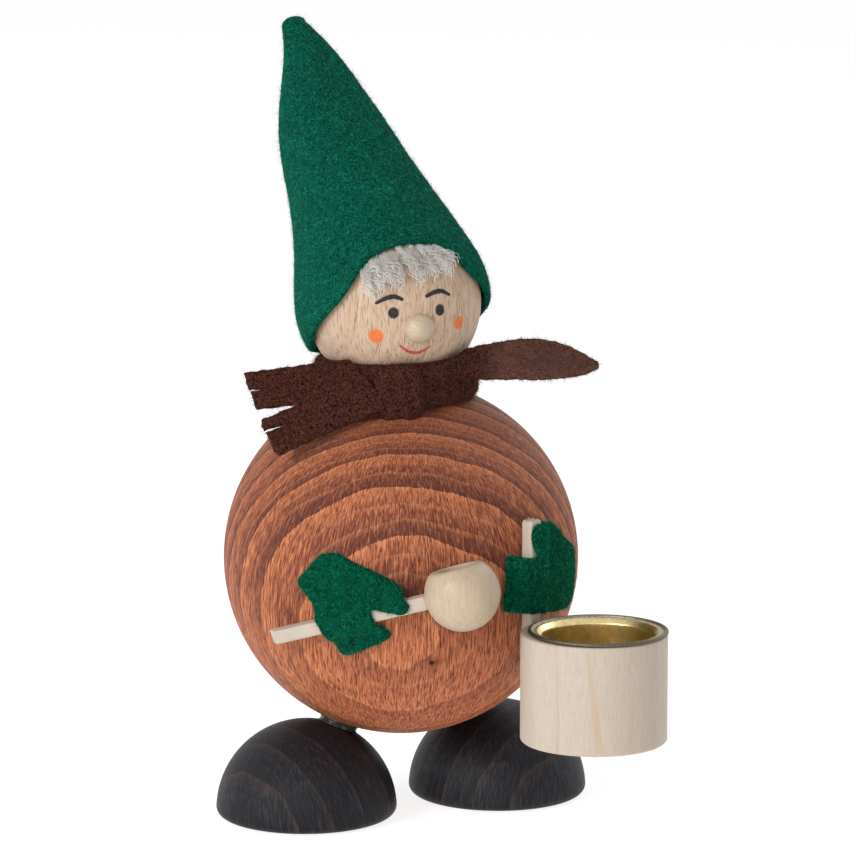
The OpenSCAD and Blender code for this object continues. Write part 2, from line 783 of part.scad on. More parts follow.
module foot_left() {
    foot(1);
}

module foot_dowel_right() {
    color(PALE_BEECH) foot_dowel_shape(-1, 0, 0);
}

module foot_dowel_left() {
    color(PALE_BEECH) foot_dowel_shape(1, 0, 0);
}

ball_body();
head();
neck_dowel();
nose();
hat();
hair();
scarf();
mitten_right();
mitten_left();
ladle_bowl();
ladle_handle();
bucket();
bucket_stave();
stave_brad();
candle_cup();
foot_right();
foot_left();
foot_dowel_right();
foot_dowel_left();
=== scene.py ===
"""Looks of the wooden gnome candle holder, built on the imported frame.

Lengths in the classes are millimetres and angles are degrees; meshes and shaders get metres.
The figure faces -Y, its own left is +X and the floor is z = 0, as in the CAD.
"""
import logging
import math
from dataclasses import dataclass, field
from enum import Enum
from functools import cache, cached_property
from typing import Any, Callable, Sequence

import bpy
import numpy as np
from mathutils import Matrix, Vector, noise
from mathutils.geometry import delaunay_2d_cdt


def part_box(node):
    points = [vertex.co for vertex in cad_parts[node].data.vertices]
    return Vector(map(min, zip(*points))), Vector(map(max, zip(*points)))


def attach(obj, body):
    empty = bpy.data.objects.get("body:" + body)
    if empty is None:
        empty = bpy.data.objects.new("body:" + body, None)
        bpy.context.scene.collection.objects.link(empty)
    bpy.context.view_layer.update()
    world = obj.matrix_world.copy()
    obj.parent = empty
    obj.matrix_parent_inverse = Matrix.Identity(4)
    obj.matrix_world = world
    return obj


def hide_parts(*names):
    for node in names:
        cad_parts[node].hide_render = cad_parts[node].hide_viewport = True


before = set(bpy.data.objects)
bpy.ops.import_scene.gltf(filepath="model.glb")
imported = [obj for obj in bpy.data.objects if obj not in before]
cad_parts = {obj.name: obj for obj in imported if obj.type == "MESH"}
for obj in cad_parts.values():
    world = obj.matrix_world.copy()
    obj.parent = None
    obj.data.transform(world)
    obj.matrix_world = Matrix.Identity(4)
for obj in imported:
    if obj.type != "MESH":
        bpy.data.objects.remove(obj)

LOG = logging.getLogger("gnome")
MM = 0.001
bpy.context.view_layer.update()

Array = np.ndarray
Floats = Sequence[float]
Pair = tuple[float, float]
Triple = tuple[float, float, float]
Colour = tuple[float, float, float, float]
Piece = bpy.types.Object
Mesh = bpy.types.Mesh
Material = bpy.types.Material
Tree = bpy.types.NodeTree
Socket = bpy.types.NodeSocket
Sockets = dict[str, Socket]


class Body(Enum):
    """The frame's bodies."""

    FIGURE = "figure"
    CUP = "cup"


class Slot(Enum):
    """The record's material slots."""

    STAINED = "stained_beech"
    PALE = "pale_beech"
    BLACK = "black_beech"
    GREEN_FELT = "green_felt"
    BROWN_FELT = "brown_felt"
    WOOL = "grey_wool"
    BRASS = "brass"
    STEEL = "steel"


def linear(value: float) -> float:
    """A channel as a screen shows it, from 0 to 255, made linear."""
    share = value / 255
    return share / 12.92 if share <= 0.04045 else ((share + 0.055) / 1.055) ** 2.4


def tint(red: float, green: float, blue: float) -> Colour:
    """A colour as a screen shows it, made the linear one that shaders take."""
    return linear(red), linear(green), linear(blue), 1.0


def turned(x: float = 0, y: float = 0, z: float = 0) -> Matrix:
    """A turn about x, then y, then z, in degrees."""
    turn = Matrix.Identity(4)
    for angle, axis in ((z, "Z"), (y, "Y"), (x, "X")):
        turn = turn @ Matrix.Rotation(math.radians(angle), 4, axis)
    return turn


def moved(x: float = 0, y: float = 0, z: float = 0) -> Matrix:
    """A move, in millimetres."""
    return Matrix.Translation((x, y, z))


def point_on(radius: float, turn: float, rise: float) -> Vector:
    """A point on a ball round the origin, turned from the front to the left and raised."""
    t, r = math.radians(turn), math.radians(rise)
    return Vector((math.sin(t) * math.cos(r), -math.cos(t) * math.cos(r), math.sin(r))) * radius


def round_angles(sides: int) -> Array:
    """Even angles once round, in radians."""
    return np.linspace(0, 2 * math.pi, sides, endpoint=False)


def wrapped(angle: Any) -> Any:
    """The same angle between -180 and 180 degrees."""
    return (angle + 540) % 360 - 180


def swelled(value: Any, power: float) -> Any:
    """A value raised to a power, with its sign kept."""
    return np.sign(value) * np.abs(value) ** power


def bell(x: Array, middle: float, width: float) -> Array:
    """A smooth bump of height one."""
    return np.exp(-((x - middle) / width) ** 2)


def mix(a: Any, b: Any, share: Any) -> Any:
    """The value a share of the way from a to b."""
    return a + (b - a) * share


def unit(vector: Floats) -> Array:
    """The same direction, of length one."""
    direction = np.array(vector, float)
    return direction / np.linalg.norm(direction)


def wander(points: Array, size: float, seed: float) -> Array:
    """Smooth noise from about -1 to 1 at points, its bumps of a size and moved by a seed."""
    shift = Vector((seed, 1.7 * seed, -2.3 * seed))
    return np.array([noise.noise(Vector(p / size) + shift) for p in points])


def off_ball(points: Array, centre: Floats, radius: float) -> Array:
    """Points inside a ball, pushed out to its surface.

    Args:
        points: the points.
        centre: the ball's centre.
        radius: the ball's radius.

    Returns:
        The points, those outside unchanged.
    """
    away = points - np.array(centre, float)
    far = np.linalg.norm(away, axis=1)
    grow = np.maximum(radius / np.maximum(far, 1e-6), 1)
    return np.array(centre, float) + away * grow[:, None]


@dataclass
class Solid:
    """Points in millimetres and the faces between them, before they become a piece."""

    points: Array
    faces: list[tuple[int, ...]]

    def placed(self, matrix: Matrix) -> "Solid":
        """Carries the points into another frame and returns this solid."""
        self.points = self.points @ np.array(matrix.to_3x3()).T + np.array(matrix.translation)
        return self

    def pressed(self, normal: Floats, point: Floats) -> "Solid":
        """Presses what stands beyond a plane flat onto it.

        Args:
            normal: the plane's outward direction.
            point: a point of the plane.

        Returns:
            This solid.
        """
        out = unit(normal)
        past = np.maximum((self.points - np.array(point, float)) @ out, 0)
        self.points = self.points - past[:, None] * out
        return self

    def clear_of(self, centre: Floats, radius: float) -> "Solid":
        """Pushes the points out of a ball and returns this solid."""
        self.points = off_ball(self.points, centre, radius)
        return self

    def join(self, other: "Solid") -> None:
        """Adds another solid as a further island."""
        self.faces = self.faces + [tuple(i + len(self.points) for i in face) for face in other.faces]
        self.points = np.vstack((self.points, other.points))

    def outward(self) -> "Solid":
        """Turns the faces of a closed solid outward and returns it."""
        fans = np.array([(face[0], *pair) for face in self.faces for pair in zip(face[1:-1], face[2:])])
        a, b, c = (self.points[corner] for corner in fans.T)
        if np.sum(a * np.cross(b, c)) < 0:
            self.faces = [face[::-1] for face in self.faces]
        return self

    def mesh(self, name: str) -> Mesh:
        """The smooth-shaded mesh, in metres."""
        mesh = bpy.data.meshes.new(name)
        mesh.from_pydata((self.points * MM).tolist(), [], self.faces)
        mesh.polygons.foreach_set("use_smooth", [True] * len(mesh.polygons))
        mesh.update()
        return mesh


def loft(rings: Array, first: Array, last: Array) -> Solid:
    """A closed skin through rings of points, with a fan at each end.

    Args:
        rings: the rings, an array of rings by points by three.
        first: the middle of the fan on the first ring.
        last: the middle of the fan on the last ring.

    Returns:
        The solid, with the faces of the first fan, the rows and the last fan in that order.
    """
    rows, sides = rings.shape[:2]
    points = np.vstack((first, rings.reshape(-1, 3), last))
    end = len(points) - 1
    ring = [[1 + i * sides + j % sides for j in range(sides + 1)] for i in range(rows)]
    faces: list[tuple[int, ...]] = [(0, ring[0][j + 1], ring[0][j]) for j in range(sides)]
    for low, high in zip(ring, ring[1:]):
        faces += [(low[j], low[j + 1], high[j + 1], high[j]) for j in range(sides)]
    faces += [(ring[-1][j], ring[-1][j + 1], end) for j in range(sides)]
    return Solid(points, faces)


def lathe(profile: Array, sides: int) -> Solid:
    """Turns a profile about z.

    Args:
        profile: radius and height along the profile, which starts and ends on the axis.
        sides: points round the axis.

    Returns:
        The turned solid.
    """
    angles = round_angles(sides)
    body = profile[1:-1]
    rings = np.stack((
        np.outer(body[:, 0], np.cos(angles)),
        np.outer(body[:, 0], np.sin(angles)),
        np.repeat(body[:, 1:2], sides, axis=1),
    ), axis=2)
    ends = [np.array((0, 0, profile[i][1]), float) for i in (0, -1)]
    return loft(rings, *ends).outward()


def arc(centre: Floats, radius: float, start: float, end: float, steps: int) -> Array:
    """Points on an arc of a profile between two angles in degrees, both ends included."""
    angles = np.radians(np.linspace(start, end, steps + 1))
    return np.column_stack((centre[0] + radius * np.cos(angles), centre[1] + radius * np.sin(angles)))


def eased(corners: Sequence[Floats], steps: int, spacing: float) -> Array:
    """A profile through corners, each rounded by its own radius.

    Args:
        corners: the corners, each as two coordinates and a radius.
        steps: spaces round a rounded corner.
        spacing: the longest gap on the straights.

    Returns:
        The profile's points.
    """
    path = [np.array(corners[0][:2], float)]

    def run_to(target: Array) -> None:
        """Adds points on the straight up to target."""
        start = path[-1]
        count = max(1, math.ceil(np.linalg.norm(target - start) / spacing))
        path.extend(mix(start, target, k / count) for k in range(1, count + 1))

    for before, here, after in zip(corners, corners[1:], corners[2:]):
        corner = np.array(here[:2], float)
        if here[2] <= 0:
            run_to(corner)
            continue
        back = unit(np.array(before[:2]) - corner)
        on = unit(np.array(after[:2]) - corner)
        half = math.acos(np.clip(back @ on, -1, 1)) / 2
        centre = corner + unit(back + on) * here[2] / math.sin(half)
        run_to(corner + back * here[2] / math.tan(half))
        begin = path[-1] - centre
        finish = corner + on * here[2] / math.tan(half) - centre
        for k in range(1, steps + 1):
            path.append(centre + unit(mix(begin, finish, k / steps)) * here[2])
    run_to(np.array(corners[-1][:2], float))
    return np.array(path)


def ball_profile(radius: float, steps: int) -> Array:
    """The profile of a whole ball round the origin."""
    profile = arc((0, 0), radius, -90, 90, steps)
    profile[[0, -1], 0] = 0
    return profile


@dataclass(frozen=True)
class Stance:
    """The figure's main sizes and the frames that the CAD places its pieces in."""

    ball_r: float = 37.5
    neck_flat: float = 0.5
    stick_flat: float = 0.15
    neck_lean: float = 1.9
    head_r: float = 18.5
    head_flat: float = 0.94
    hat_lean: float = 31.5
    hat_side: float = 4.5
    ladle_turn: float = 38
    ladle_drop: float = 8
    ladle_rise: float = 16
    bucket_turn: float = 21.6
    bucket_drop: float = 8.2

    @property
    def ball_z(self) -> float:
        """The ball's centre above the floor, from the frame."""
        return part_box("ball_body")[0].z / MM + self.ball_r

    @property
    def neck_up(self) -> float:
        """The neck's flat above the ball's centre."""
        return self.ball_r - self.neck_flat

    @property
    def head_up(self) -> float:
        """The head's centre above the ball's centre."""
        return self.neck_up + self.head_r - self.head_flat

    @property
    def stick_face(self) -> float:
        """The flats for the sticks, from the ball's centre."""
        return self.ball_r - self.stick_flat

    def ball(self) -> Matrix:
        """The frame at the ball's centre."""
        return moved(z=self.ball_z)

    def on_ball(self, turn: float, rise: float) -> Matrix:
        """A frame at the ball's centre whose z comes out at a turn to the left and a rise."""
        return self.ball() @ turned(90 - rise, 0, turn)

    def ladle_side(self) -> Matrix:
        """The frame at the ball's centre whose z comes out under the ladle."""
        return self.on_ball(-self.ladle_turn, -self.ladle_drop)

    def bucket_side(self) -> Matrix:
        """The frame at the ball's centre whose z comes out under the bucket's stave."""
        return self.on_ball(self.bucket_turn, 0)

    def neck(self) -> Matrix:
        """The frame at the ball's centre that leans with the head."""
        return self.ball() @ turned(y=-self.neck_lean)

    def head(self) -> Matrix:
        """The frame at the head's centre."""
        return self.neck() @ moved(z=self.head_up)

    def hat(self) -> Matrix:
        """The hat's frame, its z along the cone."""
        return self.head() @ turned(-self.hat_lean, 0, self.hat_side)

    def ladle(self, up: float) -> Matrix:
        """The ladle's frame, its x along the handle, so far from the ball's centre."""
        return self.ladle_side() @ turned(z=self.ladle_rise) @ moved(z=up)

    def bucket(self, out: float) -> Matrix:
        """The frame in the bucket's rim, so far from the ball's axis."""
        return moved(z=self.ball_z - self.bucket_drop) @ turned(z=self.bucket_turn) @ moved(y=-out)


STANCE = Stance()


class Nodes:
    """Adds and joins the nodes of one tree."""

    def __init__(self, tree: Tree) -> None:
        """Keeps the tree that the nodes go into."""
        self.tree = tree

    def add(self, kind: str, inputs: dict[str | int, Any] | None = None, **settings: Any) -> bpy.types.Node:
        """Adds a node.

        Args:
            kind: the node's type.
            inputs: what its inputs get, a socket to join or a value to set.
            settings: its properties.

        Returns:
            The node.
        """
        node = self.tree.nodes.new(kind)
        for key, value in settings.items():
            setattr(node, key, value)
        for key, value in (inputs or {}).items():
            if isinstance(value, Socket):
                self.tree.links.new(value, node.inputs[key])
            elif value is not None:
                node.inputs[key].default_value = value
        return node

    def out(self, kind: str, inputs: dict[str | int, Any] | None = None, **settings: Any) -> Socket:
        """The first output of a node that it adds."""
        return self.add(kind, inputs, **settings).outputs[0]

    def math(self, operation: str, *values: Any, clamp: bool = False) -> Socket:
        """The result of a math node."""
        return self.out("ShaderNodeMath", dict(enumerate(values)), operation=operation, use_clamp=clamp)

    def times(self, a: Any, b: Any) -> Socket:
        """The product of two numbers."""
        return self.math("MULTIPLY", a, b)

    def vector(self, operation: str, *values: Any, scale: Any = None) -> Socket:
        """The vector that a vector math node gives."""
        inputs = dict(enumerate(values)) | {"Scale": scale}
        return self.out("ShaderNodeVectorMath", inputs, operation=operation)

    def measure(self, operation: str, *values: Any) -> Socket:
        """The number that a vector math node gives."""
        node = self.add("ShaderNodeVectorMath", dict(enumerate(values)), operation=operation)
        return node.outputs["Value"]

    def axis(self, place: Socket, name: str) -> Socket:
        """One coordinate of a place."""
        return self.add("ShaderNodeSeparateXYZ", {0: place}).outputs[name]

    def combined(self, **parts: Any) -> Socket:
        """The vector with the given coordinates."""
        return self.out("ShaderNodeCombineXYZ", parts)

    def span(self, value: Any, low: Any, high: Any, start: Any = 0.0, end: Any = 1.0) -> Socket:
        """Value carried smoothly from low..high to start..end."""
        inputs = {0: value, 1: low, 2: high, 3: start, 4: end}
        return self.out("ShaderNodeMapRange", inputs, interpolation_type="SMOOTHSTEP")

    def noise(self, place: Any, scale: float, detail: float = 2, rough: float = 0.5,
              distort: float = 0) -> Socket:
        """Noise round one half at a place."""
        inputs = {"Vector": place, "Scale": scale, "Detail": detail, "Roughness": rough}
        return self.out("ShaderNodeTexNoise", inputs | {"Distortion": distort})

    def blend(self, share: Any, a: Any, b: Any, how: str = "MIX") -> Socket:
        """Two colours blended."""
        node = self.add("ShaderNodeMix", {0: share, 6: a, 7: b}, data_type="RGBA", blend_type=how)
        return node.outputs[2]

    def ramp(self, share: Any, stops: Sequence[tuple[float, Colour]]) -> Socket:
        """The colour at a share along a ramp.

        Args:
            share: the share.
            stops: places along the ramp and their colours.

        Returns:
            The colour.
        """
        node = self.add("ShaderNodeValToRGB", {0: share})
        points = node.color_ramp.elements
        while len(points) < len(stops):
            points.new(0.5)
        for point, (place, colour) in zip(points, stops):
            point.position = place
            point.color = colour
        return node.outputs[0]

    def bump(self, height: Any, depth: float) -> Socket:
        """A normal for a height from nought to one, of a depth in millimetres."""
        inputs = {"Height": height, "Strength": 1.0, "Distance": depth * MM}
        return self.out("ShaderNodeBump", inputs)

    def place(self) -> Socket:
        """Where the surface is, in the shared frame."""
        return self.add("ShaderNodeTexCoord").outputs["Object"]

    def group(self, tree: Tree, inputs: dict[str, Any]) -> bpy.types.Node:
        """A shared group with its inputs set."""
        return self.add("ShaderNodeGroup", inputs, node_tree=tree)


def put(name: str, data: bpy.types.ID) -> Piece:
    """A new object in the scene."""
    thing = bpy.data.objects.new(name, data)
    bpy.context.scene.collection.objects.link(thing)
    return thing


def new_material(name: str) -> tuple[Material, Nodes]:
    """An empty material and its nodes."""
    material = bpy.data.materials.new(name)
    material.use_nodes = True
    material.node_tree.nodes.clear()
    return material, Nodes(material.node_tree)


def surface(nodes: Nodes, inputs: dict[str, Any]) -> None:
    """Ends a material in one Principled shader with the given inputs."""
    shader = nodes.out("ShaderNodeBsdfPrincipled", inputs)
    nodes.add("ShaderNodeOutputMaterial", {"Surface": shader})


class SharedGroup:
    """A node group that is made once and used by several pieces."""

    name = "shared"
    kind = "ShaderNodeTree"
    inputs: dict[str, str] = {}
    outputs: tuple[str, ...] = ()
    gives = "Float"

    @classmethod
    @cache
    def tree(cls) -> Tree:
        """The group's tree, built on first use.

        Returns:
            The tree, with the class's inputs and outputs.
        """
        tree = bpy.data.node_groups.new(cls.name, cls.kind)
        sockets = [(name, "INPUT", kind) for name, kind in cls.inputs.items()]
        sockets += [(name, "OUTPUT", cls.gives) for name in cls.outputs]
        for name, side, kind in sockets:
            tree.interface.new_socket(name, in_out=side, socket_type="NodeSocket" + kind)
        nodes = Nodes(tree)
        given = nodes.add("NodeGroupInput").outputs
        nodes.add("NodeGroupOutput", cls.build(nodes, {name: given[name] for name in cls.inputs}))
        return tree

    @classmethod
    def build(cls, nodes: Nodes, given: Sockets) -> Sockets:
        """Fills the tree.

        Args:
            nodes: the tree's nodes.
            given: its inputs by name.

        Returns:
            Its outputs by name.
        """
        raise NotImplementedError


class BeechGrain(SharedGroup):
    """Growth rings round a pith, fibres along it and the short pores of beech."""

    name = "beech_grain"
    inputs = {"Vector": "Vector", "Pith": "Vector", "Turn": "Vector", "Middle": "Vector", "Round": "Float",
              "Ring": "Float", "Waver": "Float", "Uneven": "Float"}
    outputs = ("Season", "Line", "Year", "Fibre", "Pore", "Cloud")

    @classmethod
    def build(cls, nodes: Nodes, given: Sockets) -> Sockets:
        """Season runs from nought to one through each ring; the others are noise along the grain."""
        from_pith = nodes.vector("SUBTRACT", given["Vector"], given["Pith"])
        inputs = {"Vector": from_pith, "Rotation": given["Turn"]}
        grain = nodes.out("ShaderNodeVectorRotate", inputs, rotation_type="EULER_XYZ")
        across = nodes.vector("MULTIPLY", grain, (1, 1, 0))
        slow = nodes.vector("MULTIPLY", grain, (1, 1, 0.3))
        sway = nodes.math("SUBTRACT", nodes.noise(slow, 70, 2), 0.5)
        reach = nodes.math("MULTIPLY_ADD", sway, given["Waver"], nodes.measure("LENGTH", across))
        count = nodes.math("DIVIDE", reach, given["Ring"])
        inputs = {"W": count, "Scale": 0.45, "Detail": 1.0}
        uneven = nodes.out("ShaderNodeTexNoise", inputs, noise_dimensions="1D")
        uneven = nodes.math("SUBTRACT", uneven, 0.5)
        count = nodes.math("MULTIPLY_ADD", uneven, given["Uneven"], count)
        off_axis = nodes.vector("MULTIPLY", nodes.vector("SUBTRACT", grain, given["Middle"]), (1, 1, 0))
        spread = nodes.math("DIVIDE", given["Round"], nodes.measure("LENGTH", off_axis))
        around = nodes.vector("SCALE", off_axis, scale=nodes.math("POWER", spread, 0.8))
        along = nodes.vector("ADD", around, nodes.vector("MULTIPLY", grain, (0, 0, 0.075)))
        fibre = nodes.noise(along, 3200, 3, 0.6, 0.15)
        count = nodes.math("MULTIPLY_ADD", fibre, 0.07, count)
        short = nodes.vector("ADD", around, nodes.vector("MULTIPLY", grain, (0, 0, 0.1)))
        whole = {"W": nodes.math("FLOOR", count)}
        return {
            "Season": nodes.math("FRACT", count),
            "Line": nodes.span(nodes.math("FRACT", nodes.times(count, 3.0)), 0.0, 0.35, 1.0, 0.0),
            "Year": nodes.out("ShaderNodeTexWhiteNoise", whole, noise_dimensions="1D"),
            "Fibre": nodes.span(fibre, 0.28, 0.72),
            "Pore": nodes.span(nodes.noise(short, 4400, 1, 0.4), 0.57, 0.68),
            "Cloud": nodes.noise(slow, 120, 3, 0.6),
        }


class FeltMat(SharedGroup):
    """Matted felt: soft clouds, curled strands and fine hairs."""

    name = "felt_mat"
    inputs = {"Vector": "Vector"}
    outputs = ("Cloud", "Strand", "Fine", "Height")

    @classmethod
    def build(cls, nodes: Nodes, given: Sockets) -> Sockets:
        """Strand is the light hairs' mask and Height the felt's relief."""
        cloud = nodes.noise(given["Vector"], 500, 5, 0.72)
        fine = nodes.noise(given["Vector"], 2800, 2, 0.6, 1.0)
        strand: Any = 0.0
        for scale in (280, 400, 560, 800):
            curl = nodes.noise(given["Vector"], scale, 1.5, 0.45, 0.6)
            off = nodes.math("ABSOLUTE", nodes.math("SUBTRACT", curl, 0.5))
            strand = nodes.math("MAXIMUM", strand, nodes.span(off, 0.0, scale * 3e-5, 1.0, 0.0))
        strand = nodes.times(strand, nodes.span(fine, 0.3, 0.55))
        return {
            "Cloud": cloud,
            "Strand": strand,
            "Fine": nodes.span(fine, 0.38, 0.64),
            "Height": nodes.math("MULTIPLY_ADD", fine, 0.6, nodes.times(strand, 0.3)),
        }


class PaintStroke(SharedGroup):
    """One stroke of a brush: all that is near enough to a segment."""

    name = "paint_stroke"
    inputs = {"Vector": "Vector", "From": "Vector", "To": "Vector", "Start half": "Float",
              "End half": "Float"}
    outputs = ("Mask",)

    @classmethod
    def mask(cls, nodes: Nodes, spot: Socket, ends: Sequence[Vector], halves: Floats) -> Socket:
        """The mask of one stroke, with its ends and its half widths there in millimetres."""
        values = {"Vector": spot, "From": ends[0] * MM, "To": ends[1] * MM,
                  "Start half": halves[0] * MM, "End half": halves[1] * MM}
        return nodes.group(cls.tree(), values).outputs[0]

    @classmethod
    def build(cls, nodes: Nodes, given: Sockets) -> Sockets:
        """Mask is one inside the stroke."""
        away = nodes.vector("SUBTRACT", given["Vector"], given["From"])
        line = nodes.vector("SUBTRACT", given["To"], given["From"])
        square = nodes.measure("DOT_PRODUCT", line, line)
        share = nodes.math("DIVIDE", nodes.measure("DOT_PRODUCT", away, line), square, clamp=True)
        off = nodes.measure("DISTANCE", away, nodes.vector("SCALE", line, scale=share))
        spread = nodes.math("SUBTRACT", given["End half"], given["Start half"])
        half = nodes.math("MULTIPLY_ADD", spread, share, given["Start half"])
        return {"Mask": nodes.span(off, nodes.times(half, 0.8), nodes.times(half, 1.2), 1.0, 0.0)}


@dataclass(frozen=True)
class Grain:
    """How a piece of wood was cut out of the tree."""

    centre: Floats
    out: Floats
    radius: float
    along: Floats
    pith: float

    def inputs(self) -> dict[str, Any]:
        """The group's inputs that place the pith and turn the fibres."""
        out = Vector(self.out).normalized()
        side = Vector(self.along).cross(out).normalized()
        along = out.cross(side)
        pith = (Vector(self.centre) - out * self.pith) * MM
        turn = Vector(Matrix((out, side, along)).to_euler("XYZ"))
        middle = Vector((self.pith * MM, 0, 0))
        return {"Pith": pith, "Turn": turn, "Middle": middle, "Round": self.radius * MM}


PaintOver = Callable[[Nodes, Socket, Socket], Socket]


@dataclass(frozen=True)
class Beech:
    """A beech finish: its ring colours and how strongly the grain shows."""

    name: str
    early: Colour
    middle: Colour
    late: Colour
    pore: Colour
    gleam: Colour
    ring: float
    waver: float
    rings: float
    fibres: float
    pores: float
    roughness: float
    specular: float
    uneven: float = 1.6
    lines: float = 0.0
    # Heights in millimetres between which the wood turns paler downwards, if at all.
    paler_below: Pair | None = None
    turn: float = 0.5
    odd: float = -0.4
    lathe: float = 0.0
    relief: float = 0.02

    def material(self, name: str, grain: Grain, paint: PaintOver | None = None) -> Material:
        """The finish on one piece.

        Args:
            name: what the piece is.
            grain: how it was cut.
            paint: what goes over the wood, if anything.

        Returns:
            The material.
        """
        material, nodes = new_material(self.name + "_" + name)
        place = nodes.place()
        values = {"Vector": place, "Ring": self.ring * MM, "Waver": self.waver * MM, "Uneven": self.uneven}
        values |= grain.inputs()
        wood = nodes.group(BeechGrain.tree(), values).outputs
        season = nodes.math("MULTIPLY_ADD", nodes.math("SUBTRACT", wood["Cloud"], 0.5), 0.5, wood["Season"])
        rings = nodes.ramp(season, ((0.0, self.early), (self.turn, self.middle), (1.0, self.late)))
        depth = nodes.times(nodes.span(wood["Year"], self.odd, 1.0), self.rings)
        # Below these heights the rings blend towards the early wood, so the piece is paler towards the
        # bottom.
        if self.paler_below:
            paler_below = nodes.span(nodes.axis(place, "Z"), self.paler_below[0] * MM, self.paler_below[1] * MM, 0.6, 0.0)
            rings = nodes.blend(paler_below, rings, self.early)
        colour = nodes.blend(depth, self.middle, rings)
        colour = nodes.blend(nodes.times(wood["Line"], self.lines), colour, self.gleam)
        light = nodes.times(nodes.span(wood["Fibre"], 0.5, 1.0), self.fibres)
        light = nodes.times(light, nodes.span(season, 0.2, 1.0, 1.0, 0.45))
        dark = nodes.times(nodes.span(wood["Fibre"], 0.5, 0.0), self.fibres)
        colour = nodes.blend(light, colour, self.gleam)
        colour = nodes.blend(dark, colour, self.late)
        colour = nodes.blend(nodes.times(wood["Pore"], self.pores), colour, self.pore)
        if self.lathe:
            level = nodes.vector("MULTIPLY", place, (0.03, 0.03, 1))
            mark = nodes.span(nodes.noise(level, 2600, 3, 0.7), 0.4, 0.68, 0.0, self.lathe)
            colour = nodes.blend(mark, colour, self.late)
        if paint:
            colour = paint(nodes, place, colour)
        height = nodes.math("SUBTRACT", wood["Fibre"], nodes.times(wood["Pore"], 0.6))
        surface(nodes, {
            "Base Color": colour,
            "Roughness": self.roughness,
            "Specular IOR Level": self.specular,
            "Normal": nodes.bump(height, self.relief),
        })
        return material


@dataclass(frozen=True)
class Felt:
    """A felt finish and the loose fibres on it."""

    name: str
    slot: Slot
    deep: Colour
    middle: Colour
    light: Colour
    fibre: Colour
    strands: float
    grain: float

    def material(self, paint: PaintOver | None = None) -> Material:
        """The matted sheet.

        Args:
            paint: what changes its colour, if anything.

        Returns:
            The material.
        """
        material, nodes = new_material(self.name)
        place = nodes.place()
        mat = nodes.group(FeltMat.tree(), {"Vector": place}).outputs
        colour = nodes.blend(nodes.span(mat["Cloud"], 0.38, 0.6), self.deep, self.middle)
        colour = nodes.blend(nodes.times(mat["Fine"], self.grain), colour, self.light)
        colour = nodes.blend(nodes.times(mat["Strand"], self.strands), colour, self.light)
        if paint:
            colour = paint(nodes, place, colour)
        surface(nodes, {
            "Base Color": colour,
            "Roughness": 0.95,
            "Specular IOR Level": 0.05,
            "Sheen Weight": 0.5,
            "Sheen Roughness": 0.5,
            "Sheen Tint": self.middle,
            "Normal": nodes.bump(mat["Height"], 0.4),
        })
        return material

    def loose(self) -> Material:
        """The fibres that stand off the sheet."""
        material, nodes = new_material(self.name + "_fibres")
        share = nodes.noise(nodes.place(), 1500, 1)
        colour = nodes.blend(nodes.span(share, 0.35, 0.65), self.middle, self.fibre)
        surface(nodes, {"Base Color": colour, "Roughness": 0.9, "Specular IOR Level": 0.1})
        return material


@dataclass(frozen=True)
class Brass:
    """Thin drawn brass, tarnished where it is handled least."""

    bright: Colour
    dull: Colour
    tarnish: Colour
    edge: Colour

    def material(self, axis: Vector, mouth: float, rim: float) -> Material:
        """The metal, with its tarnish on the flange and round the mouth.

        Args:
            axis: a point of the cup's axis, in millimetres.
            mouth: the radius at which the flange begins.
            rim: the radius at which the flange's bead begins.

        Returns:
            The material.
        """
        material, nodes = new_material("brass_cup")
        place = nodes.place()
        cloud = nodes.noise(place, 420, 4, 0.65)
        speck = nodes.noise(place, 1900, 3, 0.7)
        off = nodes.vector("MULTIPLY", nodes.vector("SUBTRACT", place, axis * MM), (1, 1, 0))
        off = nodes.measure("LENGTH", off)
        cover = nodes.span(off, (mouth - 0.5) * MM, (mouth + 0.5) * MM)
        spots = nodes.times(nodes.span(speck, 0.5, 0.62), nodes.span(cover, 0.0, 1.0, 0.2, 0.75))
        worn = nodes.span(off, (rim - 0.1) * MM, (rim + 0.3) * MM, 0.0, 0.85)
        colour = nodes.blend(nodes.span(cloud, 0.35, 0.7), self.dull, self.bright)
        colour = nodes.blend(cover, colour, self.tarnish)
        colour = nodes.blend(worn, colour, self.edge)
        colour = nodes.blend(spots, colour, self.edge)
        surface(nodes, {
            "Base Color": colour,
            "Metallic": 1.0,
            "Roughness": nodes.span(cover, 0.0, 1.0, 0.3, 0.5),
            "Normal": nodes.bump(speck, 0.02),
        })
        return material


@dataclass(frozen=True)
class Wool:
    """Curly undyed wool."""

    shadow: Colour
    light: Colour

    def material(self) -> Material:
        """Each lock has its own shade."""
        material, nodes = new_material("grey_wool")
        lock, strand = (nodes.add("ShaderNodeAttribute", attribute_name=name).outputs["Fac"]
                        for name in ("shade", "tone"))
        shade = nodes.math("MULTIPLY_ADD", lock, 0.6, nodes.times(strand, 0.4))
        colour = nodes.blend(shade, self.shadow, self.light)
        surface(nodes, {
            "Base Color": colour,
            "Roughness": 0.8,
            "Specular IOR Level": 0.2,
            "Sheen Weight": 0.1,
        })
        return material


